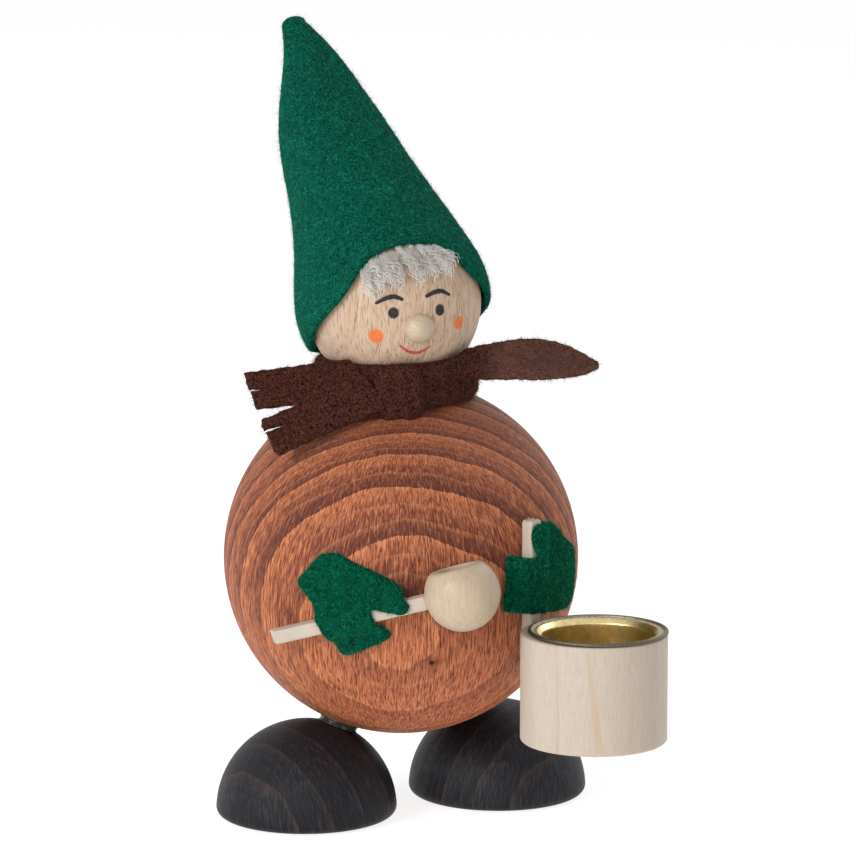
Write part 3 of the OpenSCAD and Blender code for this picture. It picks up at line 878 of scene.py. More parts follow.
STAINED = Beech(
    "stained_beech", tint(206, 123, 82), tint(156, 86, 61), tint(94, 48, 41), tint(66, 32, 26),
    tint(228, 150, 104), ring=5.7, waver=3.0, uneven=0.5, lines=0.3, paler_below=(38, 58), rings=0.95, turn=0.42,
    odd=-2.0, fibres=0.76, pores=0.75, roughness=0.55, specular=0.15, relief=0.06)
PALE = Beech(
    "pale_beech", tint(216, 188, 163), tint(208, 179, 153), tint(180, 148, 122), tint(128, 94, 72),
    tint(222, 198, 175), ring=3.4, waver=2.0, rings=0.5, fibres=0.55, pores=0.68, roughness=0.55,
    specular=0.3)
WHITE = Beech(
    "white_beech", tint(209, 196, 181), tint(203, 188, 173), tint(190, 167, 142), tint(172, 146, 122),
    tint(218, 205, 190), ring=6.5, waver=3.0, rings=0.7, turn=0.9, odd=0.45, fibres=0.24, pores=0.2,
    lathe=0.1, roughness=0.5, specular=0.35)
BOWL = Beech(
    "bowl_beech", tint(208, 187, 162), tint(201, 179, 153), tint(180, 154, 127), tint(164, 136, 110),
    tint(214, 196, 172), ring=2.6, waver=3.0, rings=0.5, turn=0.7, odd=0.1, fibres=0.35, pores=0.25,
    roughness=0.42, specular=0.45)
BLACK = Beech(
    "black_beech", tint(70, 50, 44), tint(26, 25, 30), tint(17, 15, 18), tint(8, 7, 9), tint(64, 66, 76),
    ring=7.5, waver=4.0, lines=0.12, rings=1.0, turn=0.25, odd=0.1, fibres=0.6, pores=0.7, roughness=0.5,
    specular=0.2, relief=0.05)
HAT_FELT = Felt(
    "hat_felt", Slot.GREEN_FELT, tint(0, 38, 30), tint(0, 62, 49), tint(30, 156, 124), tint(56, 176, 146),
    strands=0.65, grain=0.33)
MITTEN_FELT = Felt(
    "mitten_felt", Slot.GREEN_FELT, tint(0, 42, 29), tint(0, 76, 53), tint(14, 132, 96),
    tint(40, 158, 118), strands=0.7, grain=0.15)
SCARF_FELT = Felt(
    "scarf_felt", Slot.BROWN_FELT, tint(10, 2, 2), tint(27, 8, 7), tint(122, 72, 59), tint(124, 82, 68),
    strands=0.6, grain=0.68)
BRASS = Brass(tint(232, 213, 158), tint(212, 190, 130), tint(166, 158, 138), tint(84, 76, 60))
WOOL = Wool(tint(200, 188, 178), tint(255, 254, 250))


def publish(name: str, shape: Solid | Mesh, finish: Material | None,
            body: Body = Body.FIGURE, instead_of: Sequence[str] = ()) -> Piece:
    """Makes a shape a piece of the object.

    Args:
        name: the piece's name.
        shape: a solid, or a mesh in the shared frame.
        finish: its material, unless the mesh already has it.
        body: the body that it rides on.
        instead_of: the CAD nodes that it stands for.

    Returns:
        The piece.
    """
    piece = put(name, shape.mesh(name) if isinstance(shape, Solid) else shape)
    if finish:
        piece.data.materials.append(finish)
    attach(piece, body.value)
    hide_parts(*instead_of)
    return piece


def growth_inputs(*floats: str) -> dict[str, str]:
    """The inputs of a growth: its surface, its own numbers, its seed and its material."""
    return {"Surface": "Geometry", **dict.fromkeys(floats, "Float"), "Seed": "Int", "Material": "Material"}


class Growth(SharedGroup):
    """A geometry node tree that scatters a small shape over a surface."""

    name = "growth"
    kind = "GeometryNodeTree"
    outputs = ("Fibres",)
    gives = "Geometry"

    @classmethod
    def build(cls, nodes: Nodes, given: Sockets) -> Sockets:
        """Makes the instances real and gives them their material."""
        real = nodes.out("GeometryNodeRealizeInstances", {0: cls.spread(nodes, given)})
        inputs = {"Geometry": real, "Material": given["Material"]}
        return {"Fibres": nodes.out("GeometryNodeSetMaterial", inputs)}

    @classmethod
    def spread(cls, nodes: Nodes, given: Sockets) -> Socket:
        """Scatters the shape.

        Args:
            nodes: the tree's nodes.
            given: its inputs by name.

        Returns:
            The instances, before they are made real.
        """
        raise NotImplementedError

    @staticmethod
    def scatter(nodes: Nodes, given: Sockets) -> Any:
        """The outputs of a node that strews points over the surface."""
        inputs = {"Mesh": given["Surface"], "Density": given["Density"], "Seed": given["Seed"]}
        return nodes.add("GeometryNodeDistributePointsOnFaces", inputs).outputs

    @staticmethod
    def number(nodes: Nodes, low: float, high: float, seed: Any) -> Socket:
        """A random number for each point."""
        inputs = {2: low, 3: high, "Seed": seed}
        return nodes.add("FunctionNodeRandomValue", inputs, data_type="FLOAT").outputs[1]

    @staticmethod
    def direction(nodes: Nodes, seed: Any) -> Socket:
        """A random vector for each point."""
        inputs = {0: (-1, -1, -1), 1: (1, 1, 1), "Seed": seed}
        return nodes.out("FunctionNodeRandomValue", inputs, data_type="FLOAT_VECTOR")

    @staticmethod
    def shifted(nodes: Nodes, shape: Socket, offset: Socket) -> Socket:
        """A shape with its points moved."""
        return nodes.out("GeometryNodeSetPosition", {"Geometry": shape, "Offset": offset})

    @staticmethod
    def facing(nodes: Nodes, heading: Socket, spin: Socket, upper: Socket | None = None) -> Socket:
        """A rotation that turns z to a heading and then spins about it.

        Args:
            nodes: the tree's nodes.
            heading: where z goes.
            spin: the angle of the spin.
            upper: where x goes before the spin, if it matters.

        Returns:
            The rotation.
        """
        kind = "FunctionNodeAlignRotationToVector"
        turn = nodes.out(kind, {"Vector": heading}, axis="Z")
        if upper is not None:
            turn = nodes.out(kind, {"Rotation": turn, "Vector": upper}, axis="X", pivot_axis="Z")
        twist = nodes.out("FunctionNodeAxisAngleToRotation", {"Axis": (0, 0, 1), "Angle": spin})
        inputs = {"Rotation": turn, "Rotate By": twist}
        return nodes.out("FunctionNodeRotateRotation", inputs, rotation_space="LOCAL")

    @classmethod
    def marked(cls, nodes: Nodes, instances: Socket, name: str, seed: Any) -> Socket:
        """Instances that each carry a random number under a name."""
        inputs = {"Geometry": instances, "Name": name, "Value": cls.number(nodes, 0.0, 1.0, seed)}
        return nodes.out("GeometryNodeStoreNamedAttribute", inputs, data_type="FLOAT", domain="INSTANCE")

    @classmethod
    def grow(cls, name: str, ground: Solid, settings: dict[str, Any],
             flow: Array | None = None) -> Mesh:
        """Runs the tree on a surface.

        Args:
            name: the new mesh's name.
            ground: the surface.
            settings: the tree's inputs by name.
            flow: a direction at each point of the surface, for trees that read one.

        Returns:
            The grown mesh, plain and with its material.
        """
        mesh = ground.mesh(name + "_ground")
        if flow is not None:
            mesh.attributes.new("flow", "FLOAT_VECTOR", "POINT").data.foreach_set("vector", flow.ravel())
        base = put(name + "_ground", mesh)
        modifier = base.modifiers.new(cls.name, "NODES")
        modifier.node_group = cls.tree()
        for item in cls.tree().interface.items_tree:
            if item.name in settings:
                modifier[item.identifier] = settings[item.name]
        base.update_tag()
        bpy.context.view_layer.update()
        evaluated = base.evaluated_get(bpy.context.evaluated_depsgraph_get())
        grown = bpy.data.meshes.new_from_object(evaluated)
        grown.name = name
        bpy.data.objects.remove(base)
        bpy.data.meshes.remove(mesh)
        return grown


class Fuzz(Growth):
    """Short bent fibres that stand off a surface."""

    name = "fuzz"
    inputs = growth_inputs("Density", "Length", "Radius", "Lean", "Bend")

    @classmethod
    def spread(cls, nodes: Nodes, given: Sockets) -> Socket:
        """A bent spike on each point, near the surface's normal."""
        seed = given["Seed"]
        points = cls.scatter(nodes, given)
        inputs = {"Vertices": 3, "Side Segments": 3, "Radius Top": 0.0, "Radius Bottom": 1.0, "Depth": 1.0}
        spike = nodes.out("GeometryNodeMeshCone", inputs, fill_type="NONE")
        height = nodes.axis(nodes.out("GeometryNodeInputPosition"), "Z")
        slim = nodes.math("DIVIDE", given["Length"], given["Radius"])
        bend = nodes.times(nodes.times(nodes.math("POWER", height, 2.0), given["Bend"]), slim)
        spike = cls.shifted(nodes, spike, nodes.combined(X=bend))
        aside = nodes.vector("CROSS_PRODUCT", points["Normal"], cls.direction(nodes, seed))
        heading = nodes.vector("ADD", points["Normal"], nodes.vector("SCALE", aside, scale=given["Lean"]))
        facing = cls.facing(nodes, heading, cls.number(nodes, 0.0, 6.283, seed))
        long = nodes.times(given["Length"], cls.number(nodes, 0.35, 1.0, seed))
        size = nodes.combined(X=given["Radius"], Y=given["Radius"], Z=long)
        inputs = {"Points": points["Points"], "Instance": spike, "Rotation": facing, "Scale": size}
        return nodes.out("GeometryNodeInstanceOnPoints", inputs)


class Locks(Growth):
    """Locks of wavy strands that lie along a surface's flow."""

    name = "locks"
    inputs = growth_inputs("Density", "Length", "Wave", "Bend", "Width", "Lift", "Lean")
    strands = 12
    strand_r = 0.055

    @classmethod
    def strand(cls, nodes: Nodes, given: Sockets) -> Socket:
        """One strand: a waved line along z, bent towards -x."""
        line = nodes.out("GeometryNodeCurvePrimitiveLine", {"End": nodes.combined(Z=given["Length"])})
        line = nodes.out("GeometryNodeResampleCurve", {"Curve": line, "Count": 10})
        height = nodes.axis(nodes.out("GeometryNodeInputPosition"), "Z")
        share = nodes.math("DIVIDE", height, given["Length"])
        size = nodes.times(nodes.span(share, 0.0, 0.4), given["Wave"])
        sway = nodes.times(nodes.math("SINE", nodes.times(share, 12.0)), size)
        roll = nodes.times(nodes.math("COSINE", nodes.times(share, 8.0)), size)
        fall = nodes.times(nodes.times(height, height), given["Bend"])
        line = cls.shifted(nodes, line, nodes.combined(X=nodes.math("SUBTRACT", roll, fall), Y=sway))
        inputs = {"Curve": line, "Radius": nodes.math("SUBTRACT", 1.0, nodes.times(share, 0.75))}
        line = nodes.out("GeometryNodeSetCurveRadius", inputs)
        inputs = {"Resolution": 3, "Radius": cls.strand_r * MM}
        ring = nodes.out("GeometryNodeCurvePrimitiveCircle", inputs)
        return nodes.out("GeometryNodeCurveToMesh", {"Curve": line, "Profile Curve": ring})

    @classmethod
    def lock(cls, nodes: Nodes, given: Sockets) -> Socket:
        """A bundle of strands, each with its own length, lean and tone."""
        roots = nodes.vector("SCALE", cls.direction(nodes, 2), scale=given["Width"])
        roots = nodes.vector("MULTIPLY", roots, (1, 1, 1.5))
        inputs = {
            "Points": nodes.out("GeometryNodePoints", {"Count": cls.strands, "Position": roots}),
            "Instance": cls.strand(nodes, given),
            "Rotation": nodes.vector("MULTIPLY", cls.direction(nodes, 3), (0.1, 0.1, 0.2)),
            "Scale": cls.number(nodes, 0.5, 1.15, 4),
        }
        bundle = cls.marked(nodes, nodes.out("GeometryNodeInstanceOnPoints", inputs), "tone", 6)
        return nodes.out("GeometryNodeRealizeInstances", {0: bundle})

    @classmethod
    def spread(cls, nodes: Nodes, given: Sockets) -> Socket:
        """A lock on each point, each with its own shade."""
        seed = given["Seed"]
        points = cls.scatter(nodes, given)
        rise = nodes.times(given["Lift"], cls.number(nodes, 0.0, 1.0, seed))
        flow = nodes.out("GeometryNodeInputNamedAttribute", {"Name": "flow"}, data_type="FLOAT_VECTOR")
        aside = nodes.vector("SCALE", cls.direction(nodes, seed), scale=given["Lean"])
        heading = nodes.vector("ADD", flow, aside)
        lift = nodes.vector("SCALE", points["Normal"], scale=rise)
        inputs = {
            "Points": cls.shifted(nodes, points["Points"], lift),
            "Instance": cls.lock(nodes, given),
            "Rotation": cls.facing(nodes, heading, cls.number(nodes, -0.5, 0.5, 7), points["Normal"]),
            "Scale": cls.number(nodes, 0.7, 1.15, seed),
        }
        return cls.marked(nodes, nodes.out("GeometryNodeInstanceOnPoints", inputs), "shade", seed)


class Nap(Enum):
    """How loose fibres lie: length and radius in millimetres, lean and bend."""

    UPRIGHT = (0.7, 0.03, 0.9, 0.3)
    LYING = (2.4, 0.036, 4.0, 0.5)
    SHORT = (0.32, 0.024, 1.0, 0.3)
    FLAT = (2.2, 0.03, 8.0, 0.5)
    SPLINTER = (0.9, 0.07, 2.2, 0.3)


@dataclass
class Fibres:
    """Loose fibres: their ground, how they lie, how many to a square millimetre and which."""

    ground: Solid
    nap: Nap
    density: float
    seed: int

    def grown(self, name: str, finish: Material, slot: Slot) -> Piece:
        """The fibres' piece.

        Args:
            name: its name.
            finish: its material.
            slot: the record's slot of its ground; not used.

        Returns:
            The piece.
        """
        length, radius, lean, bend = self.nap.value
        settings = {"Density": self.density / MM ** 2, "Length": length * MM, "Radius": radius * MM,
                    "Lean": lean, "Bend": bend, "Seed": self.seed, "Material": finish}
        return publish(name, Fuzz.grow(name, self.ground, settings), None)


def felt_pieces(node: str, solid: Solid, felt: Felt, fuzz: Fibres, hairs: Fibres,
                paint: PaintOver | None = None) -> list[Piece]:
    """A felt with its loose fibres.

    Args:
        node: the CAD node that it stands for.
        solid: its shape.
        felt: its finish.
        fuzz: the short fibres on it.
        hairs: the longer ones.
        paint: what changes its colour, if anything.

    Returns:
        The felt, the fuzz and the hairs.
    """
    sheet = publish(node + "_felt", solid, felt.material(paint), instead_of=[node])
    loose = {node + "_fuzz": fuzz, node + "_hairs": hairs}
    return [sheet, *(fibres.grown(name, felt.loose(), felt.slot) for name, fibres in loose.items())]


def resampled(outline: Array, spacing: float) -> Array:
    """The points of a closed outline, evenly spaced along it.

    Args:
        outline: its corners.
        spacing: about how far apart the points are.

    Returns:
        The points.
    """
    closed = np.vstack((outline, outline[:1]))
    run = np.concatenate(([0], np.cumsum(np.linalg.norm(np.diff(closed, axis=0), axis=1))))
    stops = np.linspace(0, run[-1], max(8, round(run[-1] / spacing)), endpoint=False)
    return np.column_stack([np.interp(stops, run, closed[:, k]) for k in (0, 1)])


def softened(outline: Array, cut: float) -> Array:
    """A closed outline with its corners cut off at a set distance."""
    after = np.roll(outline, -1, axis=0)
    share = np.minimum(cut / np.linalg.norm(after - outline, axis=1), 0.3)[:, None]
    return np.stack((mix(outline, after, share), mix(outline, after, 1 - share)), axis=1).reshape(-1, 2)


def roughened(outline: Array, seed: float, ragged: float = 0.18) -> Array:
    """An outline as scissors leave it in felt, a little uneven."""
    flat = np.column_stack((outline, 0 * outline[:, 0]))
    return outline + ragged * np.column_stack([wander(flat, 0.9, seed + k) for k in (0, 5)])


def edge_distance(points: Array, outline: Array) -> Array:
    """How far points lie from a closed outline.

    Args:
        points: the points.
        outline: the outline's corners.

    Returns:
        The distance of each point.
    """
    best = np.full(len(points), 1e9)
    for a, b in zip(outline, np.roll(outline, -1, axis=0)):
        line = b - a
        share = np.clip((points - a) @ line / max(line @ line, 1e-9), 0, 1)
        best = np.minimum(best, np.linalg.norm(points - a - share[:, None] * line, axis=1))
    return best


def inside(points: Array, outline: Array) -> Array:
    """Which points a closed outline holds.

    Args:
        points: the points.
        outline: the outline's corners.

    Returns:
        True for each point inside.
    """
    held = np.zeros(len(points), bool)
    for a, b in zip(outline, np.roll(outline, -1, axis=0)):
        spans = (a[1] > points[:, 1]) != (b[1] > points[:, 1])
        rise = b[1] - a[1] if b[1] != a[1] else 1e-9
        held ^= spans & (points[:, 0] < a[0] + (b[0] - a[0]) * (points[:, 1] - a[1]) / rise)
    return held


@dataclass
class CutSheet:
    """A piece of felt cut to an outline and then laid over something."""

    outline: Array
    lay: Callable[[Array], Array]
    thick: float
    spacing: float = 0.5
    edge: float = 0.7
    row_share: float = 0.87
    rim_gap: float = 0.55

    def solids(self) -> tuple[Solid, Solid]:
        """The closed felt, and its outer face alone.

        Returns:
            Both solids, in the frame that lay gives.
        """
        rim = resampled(self.outline, self.spacing)
        low, high = rim.min(0), rim.max(0)
        columns = np.arange(low[0], high[0], self.spacing)
        rows = np.arange(low[1], high[1], self.spacing * self.row_share)
        grid = np.array([(x + self.spacing / 2 * (k % 2), y) for k, y in enumerate(rows) for x in columns])
        grid = grid[inside(grid, rim)]
        grid = grid[edge_distance(grid, rim) > self.rim_gap * self.spacing]
        flat = np.vstack((rim, grid))
        count = len(rim)
        edges = [(i, (i + 1) % count) for i in range(count)]
        made = delaunay_2d_cdt([Vector(p) for p in flat], edges, [], 1, 1e-7)
        flat = np.array([tuple(p) for p in made[0]])
        faces = [tuple(f) for f in made[2]]
        off = edge_distance(flat, rim)
        on_rim = off < 1e-4
        middle = self.lay(flat)
        step = 0.05
        along = self.lay(flat + (step, 0)) - self.lay(flat - (step, 0))
        across = self.lay(flat + (0, step)) - self.lay(flat - (0, step))
        normal = np.cross(along, across)
        normal /= np.linalg.norm(normal, axis=1)[:, None]
        half = self.thick / 2 * np.sqrt(np.maximum(0, 1 - (1 - np.minimum(1, off / self.edge)) ** 2))
        top = middle + normal * half[:, None]
        under = middle - normal * half[:, None]
        twin = np.arange(len(flat))
        twin[~on_rim] = len(flat) + np.arange(np.count_nonzero(~on_rim))
        points = np.vstack((top, under[~on_rim]))
        lower = [tuple(int(twin[i]) for i in reversed(f)) for f in faces]
        return Solid(points, faces + lower).outward(), Solid(top, faces)


class Part:
    """A part of the figure that makes its own pieces."""

    def build(self) -> list[Piece]:
        """Shapes and dresses the part.

        Returns:
            Its pieces, in the order in which they were made.
        """
        raise NotImplementedError


@dataclass
class Ball(Part):
    """The body: a turned ball with a flat for the neck and one for each stick."""

    stance: Stance = STANCE
    knot: Pair = (-13.5, -24.6)
    knot_halo: Pair = (0.3, 2.6)
    knot_core: Pair = (0.35, 0.75)
    knot_colour: Colour = tint(38, 26, 24)
    rings_face: Pair = (-21.5, -15.5)
    pith: float = 151.3

    def paint(self, nodes: Nodes, place: Socket, colour: Socket) -> Socket:
        """Adds the pin knot to the wood.

        Args:
            nodes: the material's nodes.
            place: where the surface is.
            colour: the wood's colour.

        Returns:
            The colour with the knot in it.
        """
        spot = self.stance.ball() @ point_on(self.stance.ball_r, *self.knot)
        off = nodes.measure("DISTANCE", place, spot * MM)
        halo = nodes.span(off, *(x * MM for x in self.knot_halo), 0.4, 0.0)
        colour = nodes.blend(halo, colour, STAINED.late)
        core = nodes.span(off, *(x * MM for x in self.knot_core), 1.0, 0.0)
        return nodes.blend(core, colour, self.knot_colour)

    def build(self) -> list[Piece]:
        """The ball."""
        s = self.stance
        solid = lathe(ball_profile(s.ball_r, 120), 180).placed(s.ball())
        flats = ((s.neck(), s.neck_up), (s.ladle_side(), s.stick_face), (s.bucket_side(), s.stick_face))
        for side, up in flats:
            solid.pressed(side.to_3x3() @ Vector((0, 0, 1)), side @ Vector((0, 0, up)))
        grain = Grain((0, 0, s.ball_z), point_on(1, *self.rings_face), s.ball_r, (0, 0, 1), self.pith)
        material = STAINED.material("ball", grain, self.paint)
        return [publish("ball_wood", solid, material, instead_of=["ball_body"])]


@dataclass(frozen=True)
class Stroke:
    """A brush stroke through turns and rises on the head, with its half width at each of them."""

    path: tuple[Pair, ...]
    halves: tuple[float, ...]

    def segments(self) -> list[tuple[Any, Any, float, float]]:
        """Each straight part: its ends and its half widths there."""
        ends = np.column_stack((self.path, self.halves))
        for _ in range(2 if len(ends) > 2 else 0):
            cut = np.stack((mix(ends[:-1], ends[1:], 0.25), mix(ends[:-1], ends[1:], 0.75)), axis=1)
            ends = np.vstack((ends[:1], cut.reshape(-1, 3), ends[-1:]))
        return [(a[:2], b[:2], float(a[2]), float(b[2])) for a, b in zip(ends, ends[1:])]


@dataclass
class Head(Part):
    """The head with its painted face, and the nose that is pegged into it."""

    stance: Stance = STANCE
    nose_r: float = 3.1
    nose_turn: float = -7
    nose_rise: float = -10
    nose_reach: float = 3
    nose_dome: float = 2.2
    nose_root: float = 4.5
    brush_shake: float = 0.2
    dark: tuple[Stroke, ...] = (
        Stroke(((-23.6, 0.9), (-23.6, 1.2)), (1.16, 1.12)),
        Stroke(((7.6, 0.2), (7.6, 1.2)), (1.08, 1.04)),
        Stroke(((-34.3, 7.5), (-27.7, 10.7), (-22.6, 11.6), (-17.8, 9.4)), (0.32, 0.5, 0.52, 0.36)),
        Stroke(((-1.1, 10.4), (4.3, 12.4), (10.3, 12.9), (15.9, 9.6)), (0.36, 0.52, 0.5, 0.32)),
    )
    cheeks: tuple[Stroke, ...] = (
        Stroke(((-35.9, -14.3), (-35.4, -14.3)), (1.5, 1.5)),
        Stroke(((23.7, -9.7), (24.1, -9.7)), (1.4, 1.4)),
    )
    mouth: tuple[Stroke, ...] = (
        Stroke(((-19.9, -21.3), (-14.8, -25.8), (-9.0, -27.9), (-3.3, -26.9), (2.0, -23.5)),
               (0.22, 0.38, 0.42, 0.38, 0.2)),
    )

    def paint(self, nodes: Nodes, place: Socket, colour: Socket) -> Socket:
        """Paints the face over the wood.

        Args:
            nodes: the material's nodes.
            place: where the surface is.
            colour: the wood's colour.

        Returns:
            The colour with the face on it.
        """
        inputs = {"Vector": place, "Scale": 1600.0, "Detail": 2.0}
        shake = nodes.add("ShaderNodeTexNoise", inputs).outputs[1]
        shake = nodes.vector("SUBTRACT", shake, (0.5, 0.5, 0.5))
        spot = nodes.vector("MULTIPLY_ADD", shake, [self.brush_shake * MM] * 3, place)
        thin = nodes.noise(place, 1900, 3, 0.7)
        coats = (
            (self.cheeks, tint(236, 112, 10), nodes.span(thin, 0.35, 0.68, 1.0, 0.7)),
            (self.mouth, tint(194, 38, 40), nodes.span(thin, 0.3, 0.7, 0.97, 0.65)),
            (self.dark, tint(14, 14, 24), nodes.span(thin, 0.3, 0.75, 1.0, 0.93)),
        )
        for strokes, paint, cover in coats:
            mask: Any = 0.0
            for start, end, *halves in (part for stroke in strokes for part in stroke.segments()):
                ends = [self.stance.head() @ point_on(self.stance.head_r, *at) for at in (start, end)]
                mask = nodes.math("MAXIMUM", mask, PaintStroke.mask(nodes, spot, ends, halves))
            colour = nodes.blend(nodes.times(mask, cover), colour, paint)
        return colour

    def build(self) -> list[Piece]:
        """The head and the nose."""
        s = self.stance
        solid = lathe(ball_profile(s.head_r, 96), 144)
        solid.pressed((0, 0, -1), (0, 0, s.head_flat - s.head_r)).placed(s.head())
        grain = Grain(s.head().translation, (1, 0.25, 0), s.head_r, (0.03, 0, 1), 90)
        material = PALE.material("head", grain, self.paint)
        head = publish("head_wood", solid, material, instead_of=["head"])
        edge = s.head_r + self.nose_reach - self.nose_dome
        dome_r = (self.nose_r ** 2 + self.nose_dome ** 2) / (2 * self.nose_dome)
        top = edge + self.nose_dome
        open_angle = math.degrees(math.asin(self.nose_r / dome_r))
        cap = arc((0, top - dome_r), dome_r, 90 - open_angle + 4, 90, 10)
        cap[-1, 0] = 0
        root = s.head_r - self.nose_root
        profile = np.vstack((((0, root), (self.nose_r, root), (self.nose_r, edge - 0.35),
                              (self.nose_r - 0.04, edge - 0.05)), cap))
        peg = s.head() @ turned(90 - self.nose_rise, 0, self.nose_turn)
        heart, along = (peg.to_3x3() @ Vector(way) for way in ((1, 0.3, 0), (0, 0, 1)))
        material = BOWL.material("nose", Grain(peg @ Vector((9, 0, 0)), heart, 9, along, 6))
        nose = publish("nose_wood", lathe(profile, 64).placed(peg), material, instead_of=["nose"])
        return [head, nose]


@dataclass
class Hat(Part):
    """The felt cone, glued over the head, with its rim drooping beside the wool."""

    stance: Stance = STANCE
    felt: float = 1.5
    gap: float = 0.12
    long: float = 67.5
    taper: float = 5.5
    tip: float = 1.8
    rim_drop: float = 1
    rim_tilt: float = 2.1
    rim_roll: float = 1.7
    rim_droop: float = 4.2
    rim_lift: float = 4.8
    rim_flare: float = 0.5
    fold_out: float = 4.8
    fold_at: float = 44
    fold_run: float = 19
    tip_bend: float = 3.4
    tip_run: float = 18
    hair_turn: float = 12
    hair_spread: float = 37
    slack: Pair = (0.3, 0.1)
    slack_run: float = 12
    sides: int = 168
    rows: int = 84

    @property
    def radius(self) -> float:
        """The hat's outside round the head."""
        return self.stance.head_r + self.gap + self.felt

    @property
    def angles(self) -> Array:
        """The columns of the felt's mesh, in degrees from the front."""
        return np.linspace(0, 360, self.sides, endpoint=False)

    def rim(self, angle: Array) -> Array:
        """The rim's height along the cone.

        Args:
            angle: angles from the front, in degrees.

        Returns:
            The height at each of them.
        """
        off = wrapped(angle + self.hair_turn)
        a = np.radians(angle)
        tilt, roll = (math.tan(math.radians(x)) for x in (self.rim_tilt, self.rim_roll))
        level = self.radius * (tilt * np.cos(a) - roll * np.sin(a)) - self.rim_drop
        droop = self.rim_droop * np.sin(np.radians(off)) ** 2
        return level - droop + self.rim_lift * np.exp(-(off / self.hair_spread) ** 4)

    def skin(self, angle: Array, s: Array, inset: float | Array) -> Array:
        """Points of the hat.

        Args:
            angle: angles from the front, in degrees.
            s: heights along the cone.
            inset: how far inside the outer face.

        Returns:
            The points, in the hat's frame.
        """
        apex = self.long + self.taper
        slope = self.radius / math.sqrt(apex ** 2 - self.radius ** 2)
        touch = self.radius ** 2 / apex
        round_part = np.sqrt(np.maximum(self.radius ** 2 - np.minimum(s, touch) ** 2, 1))
        a = np.radians(angle)
        r = np.where(s > touch, (apex - s) * slope, round_part)
        r = r + np.sin(a) ** 2 * self.rim_flare * bell(s, 0, self.stance.head_r)
        r = r + np.maximum(0, -np.sin(a)) ** 2 * self.fold_out * bell(s, self.fold_at, self.fold_run) - inset
        past = np.maximum(0, (s - self.long + self.tip_run) / self.tip_run)
        return np.stack((r * np.sin(a) - self.tip_bend * past ** 2, -r * np.cos(a), s), axis=-1)

    def face(self, top: float, inset: float) -> list[Array]:
        """The rings of one face from near the tip to the rim.

        Args:
            top: where the face ends at the tip.
            inset: how far it lies inside the outer face.

        Returns:
            The rings.
        """
        angle = self.angles
        start = self.rim(angle) + self.felt / 2
        high = top - self.tip
        shoulder = self.skin(angle, np.full(self.sides, high), inset)
        middle = self.skin(angle, np.full(self.sides, high), 0).mean(0)
        rings = []
        for lift in np.radians((78, 64, 50, 36, 22, 10)):
            ring = mix(middle, shoulder, math.cos(lift))
            ring[:, 2] = high + self.tip * math.sin(lift)
            rings.append(ring)
        for k in range(self.rows + 1):
            rings.append(self.skin(angle, mix(high, start, k / self.rows), inset))
        return rings

    def build(self) -> list[Piece]:
        """The hat and its loose fibres."""
        angle = self.angles
        outer = self.face(self.long, 0)
        inner = self.face(self.long - 4 * self.felt, self.felt)
        half = self.felt / 2
        fold = [self.skin(angle, self.rim(angle) + half * (1 - math.sin(a)), half * (1 - math.cos(a)))
                for a in np.radians((30, 60, 90, 120, 150))]
        rings = np.array(outer + fold + inner[::-1])
        ends = [np.append(side[0][:, :2].mean(0), side[0][:, 2].mean() + 0.03) for side in (outer, inner)]
        solid = loft(rings, *ends)
        away = solid.points - solid.points * (0, 0, 1)
        away /= np.maximum(np.linalg.norm(away, axis=1), 0.5)[:, None]
        wide, fine = self.slack
        slack = wide * wander(solid.points * (1, 1, 0.6), 9, 3.1) + fine * wander(solid.points, 2.4, 8.2)
        slack *= np.clip((self.long - solid.points[:, 2]) / self.slack_run, 0, 1)
        solid.points = solid.points + away * slack[:, None]
        solid.outward().placed(self.stance.hat())
        shown = self.sides * (1 + len(outer) + len(fold))
        ground = Solid(solid.points, solid.faces[:shown])
        hat, fuzz, hairs = felt_pieces(
            "hat", solid, HAT_FELT, Fibres(ground, Nap.SHORT, 2.2, 11), Fibres(ground, Nap.FLAT, 2.2, 12))
        return [hat, fuzz, hairs]


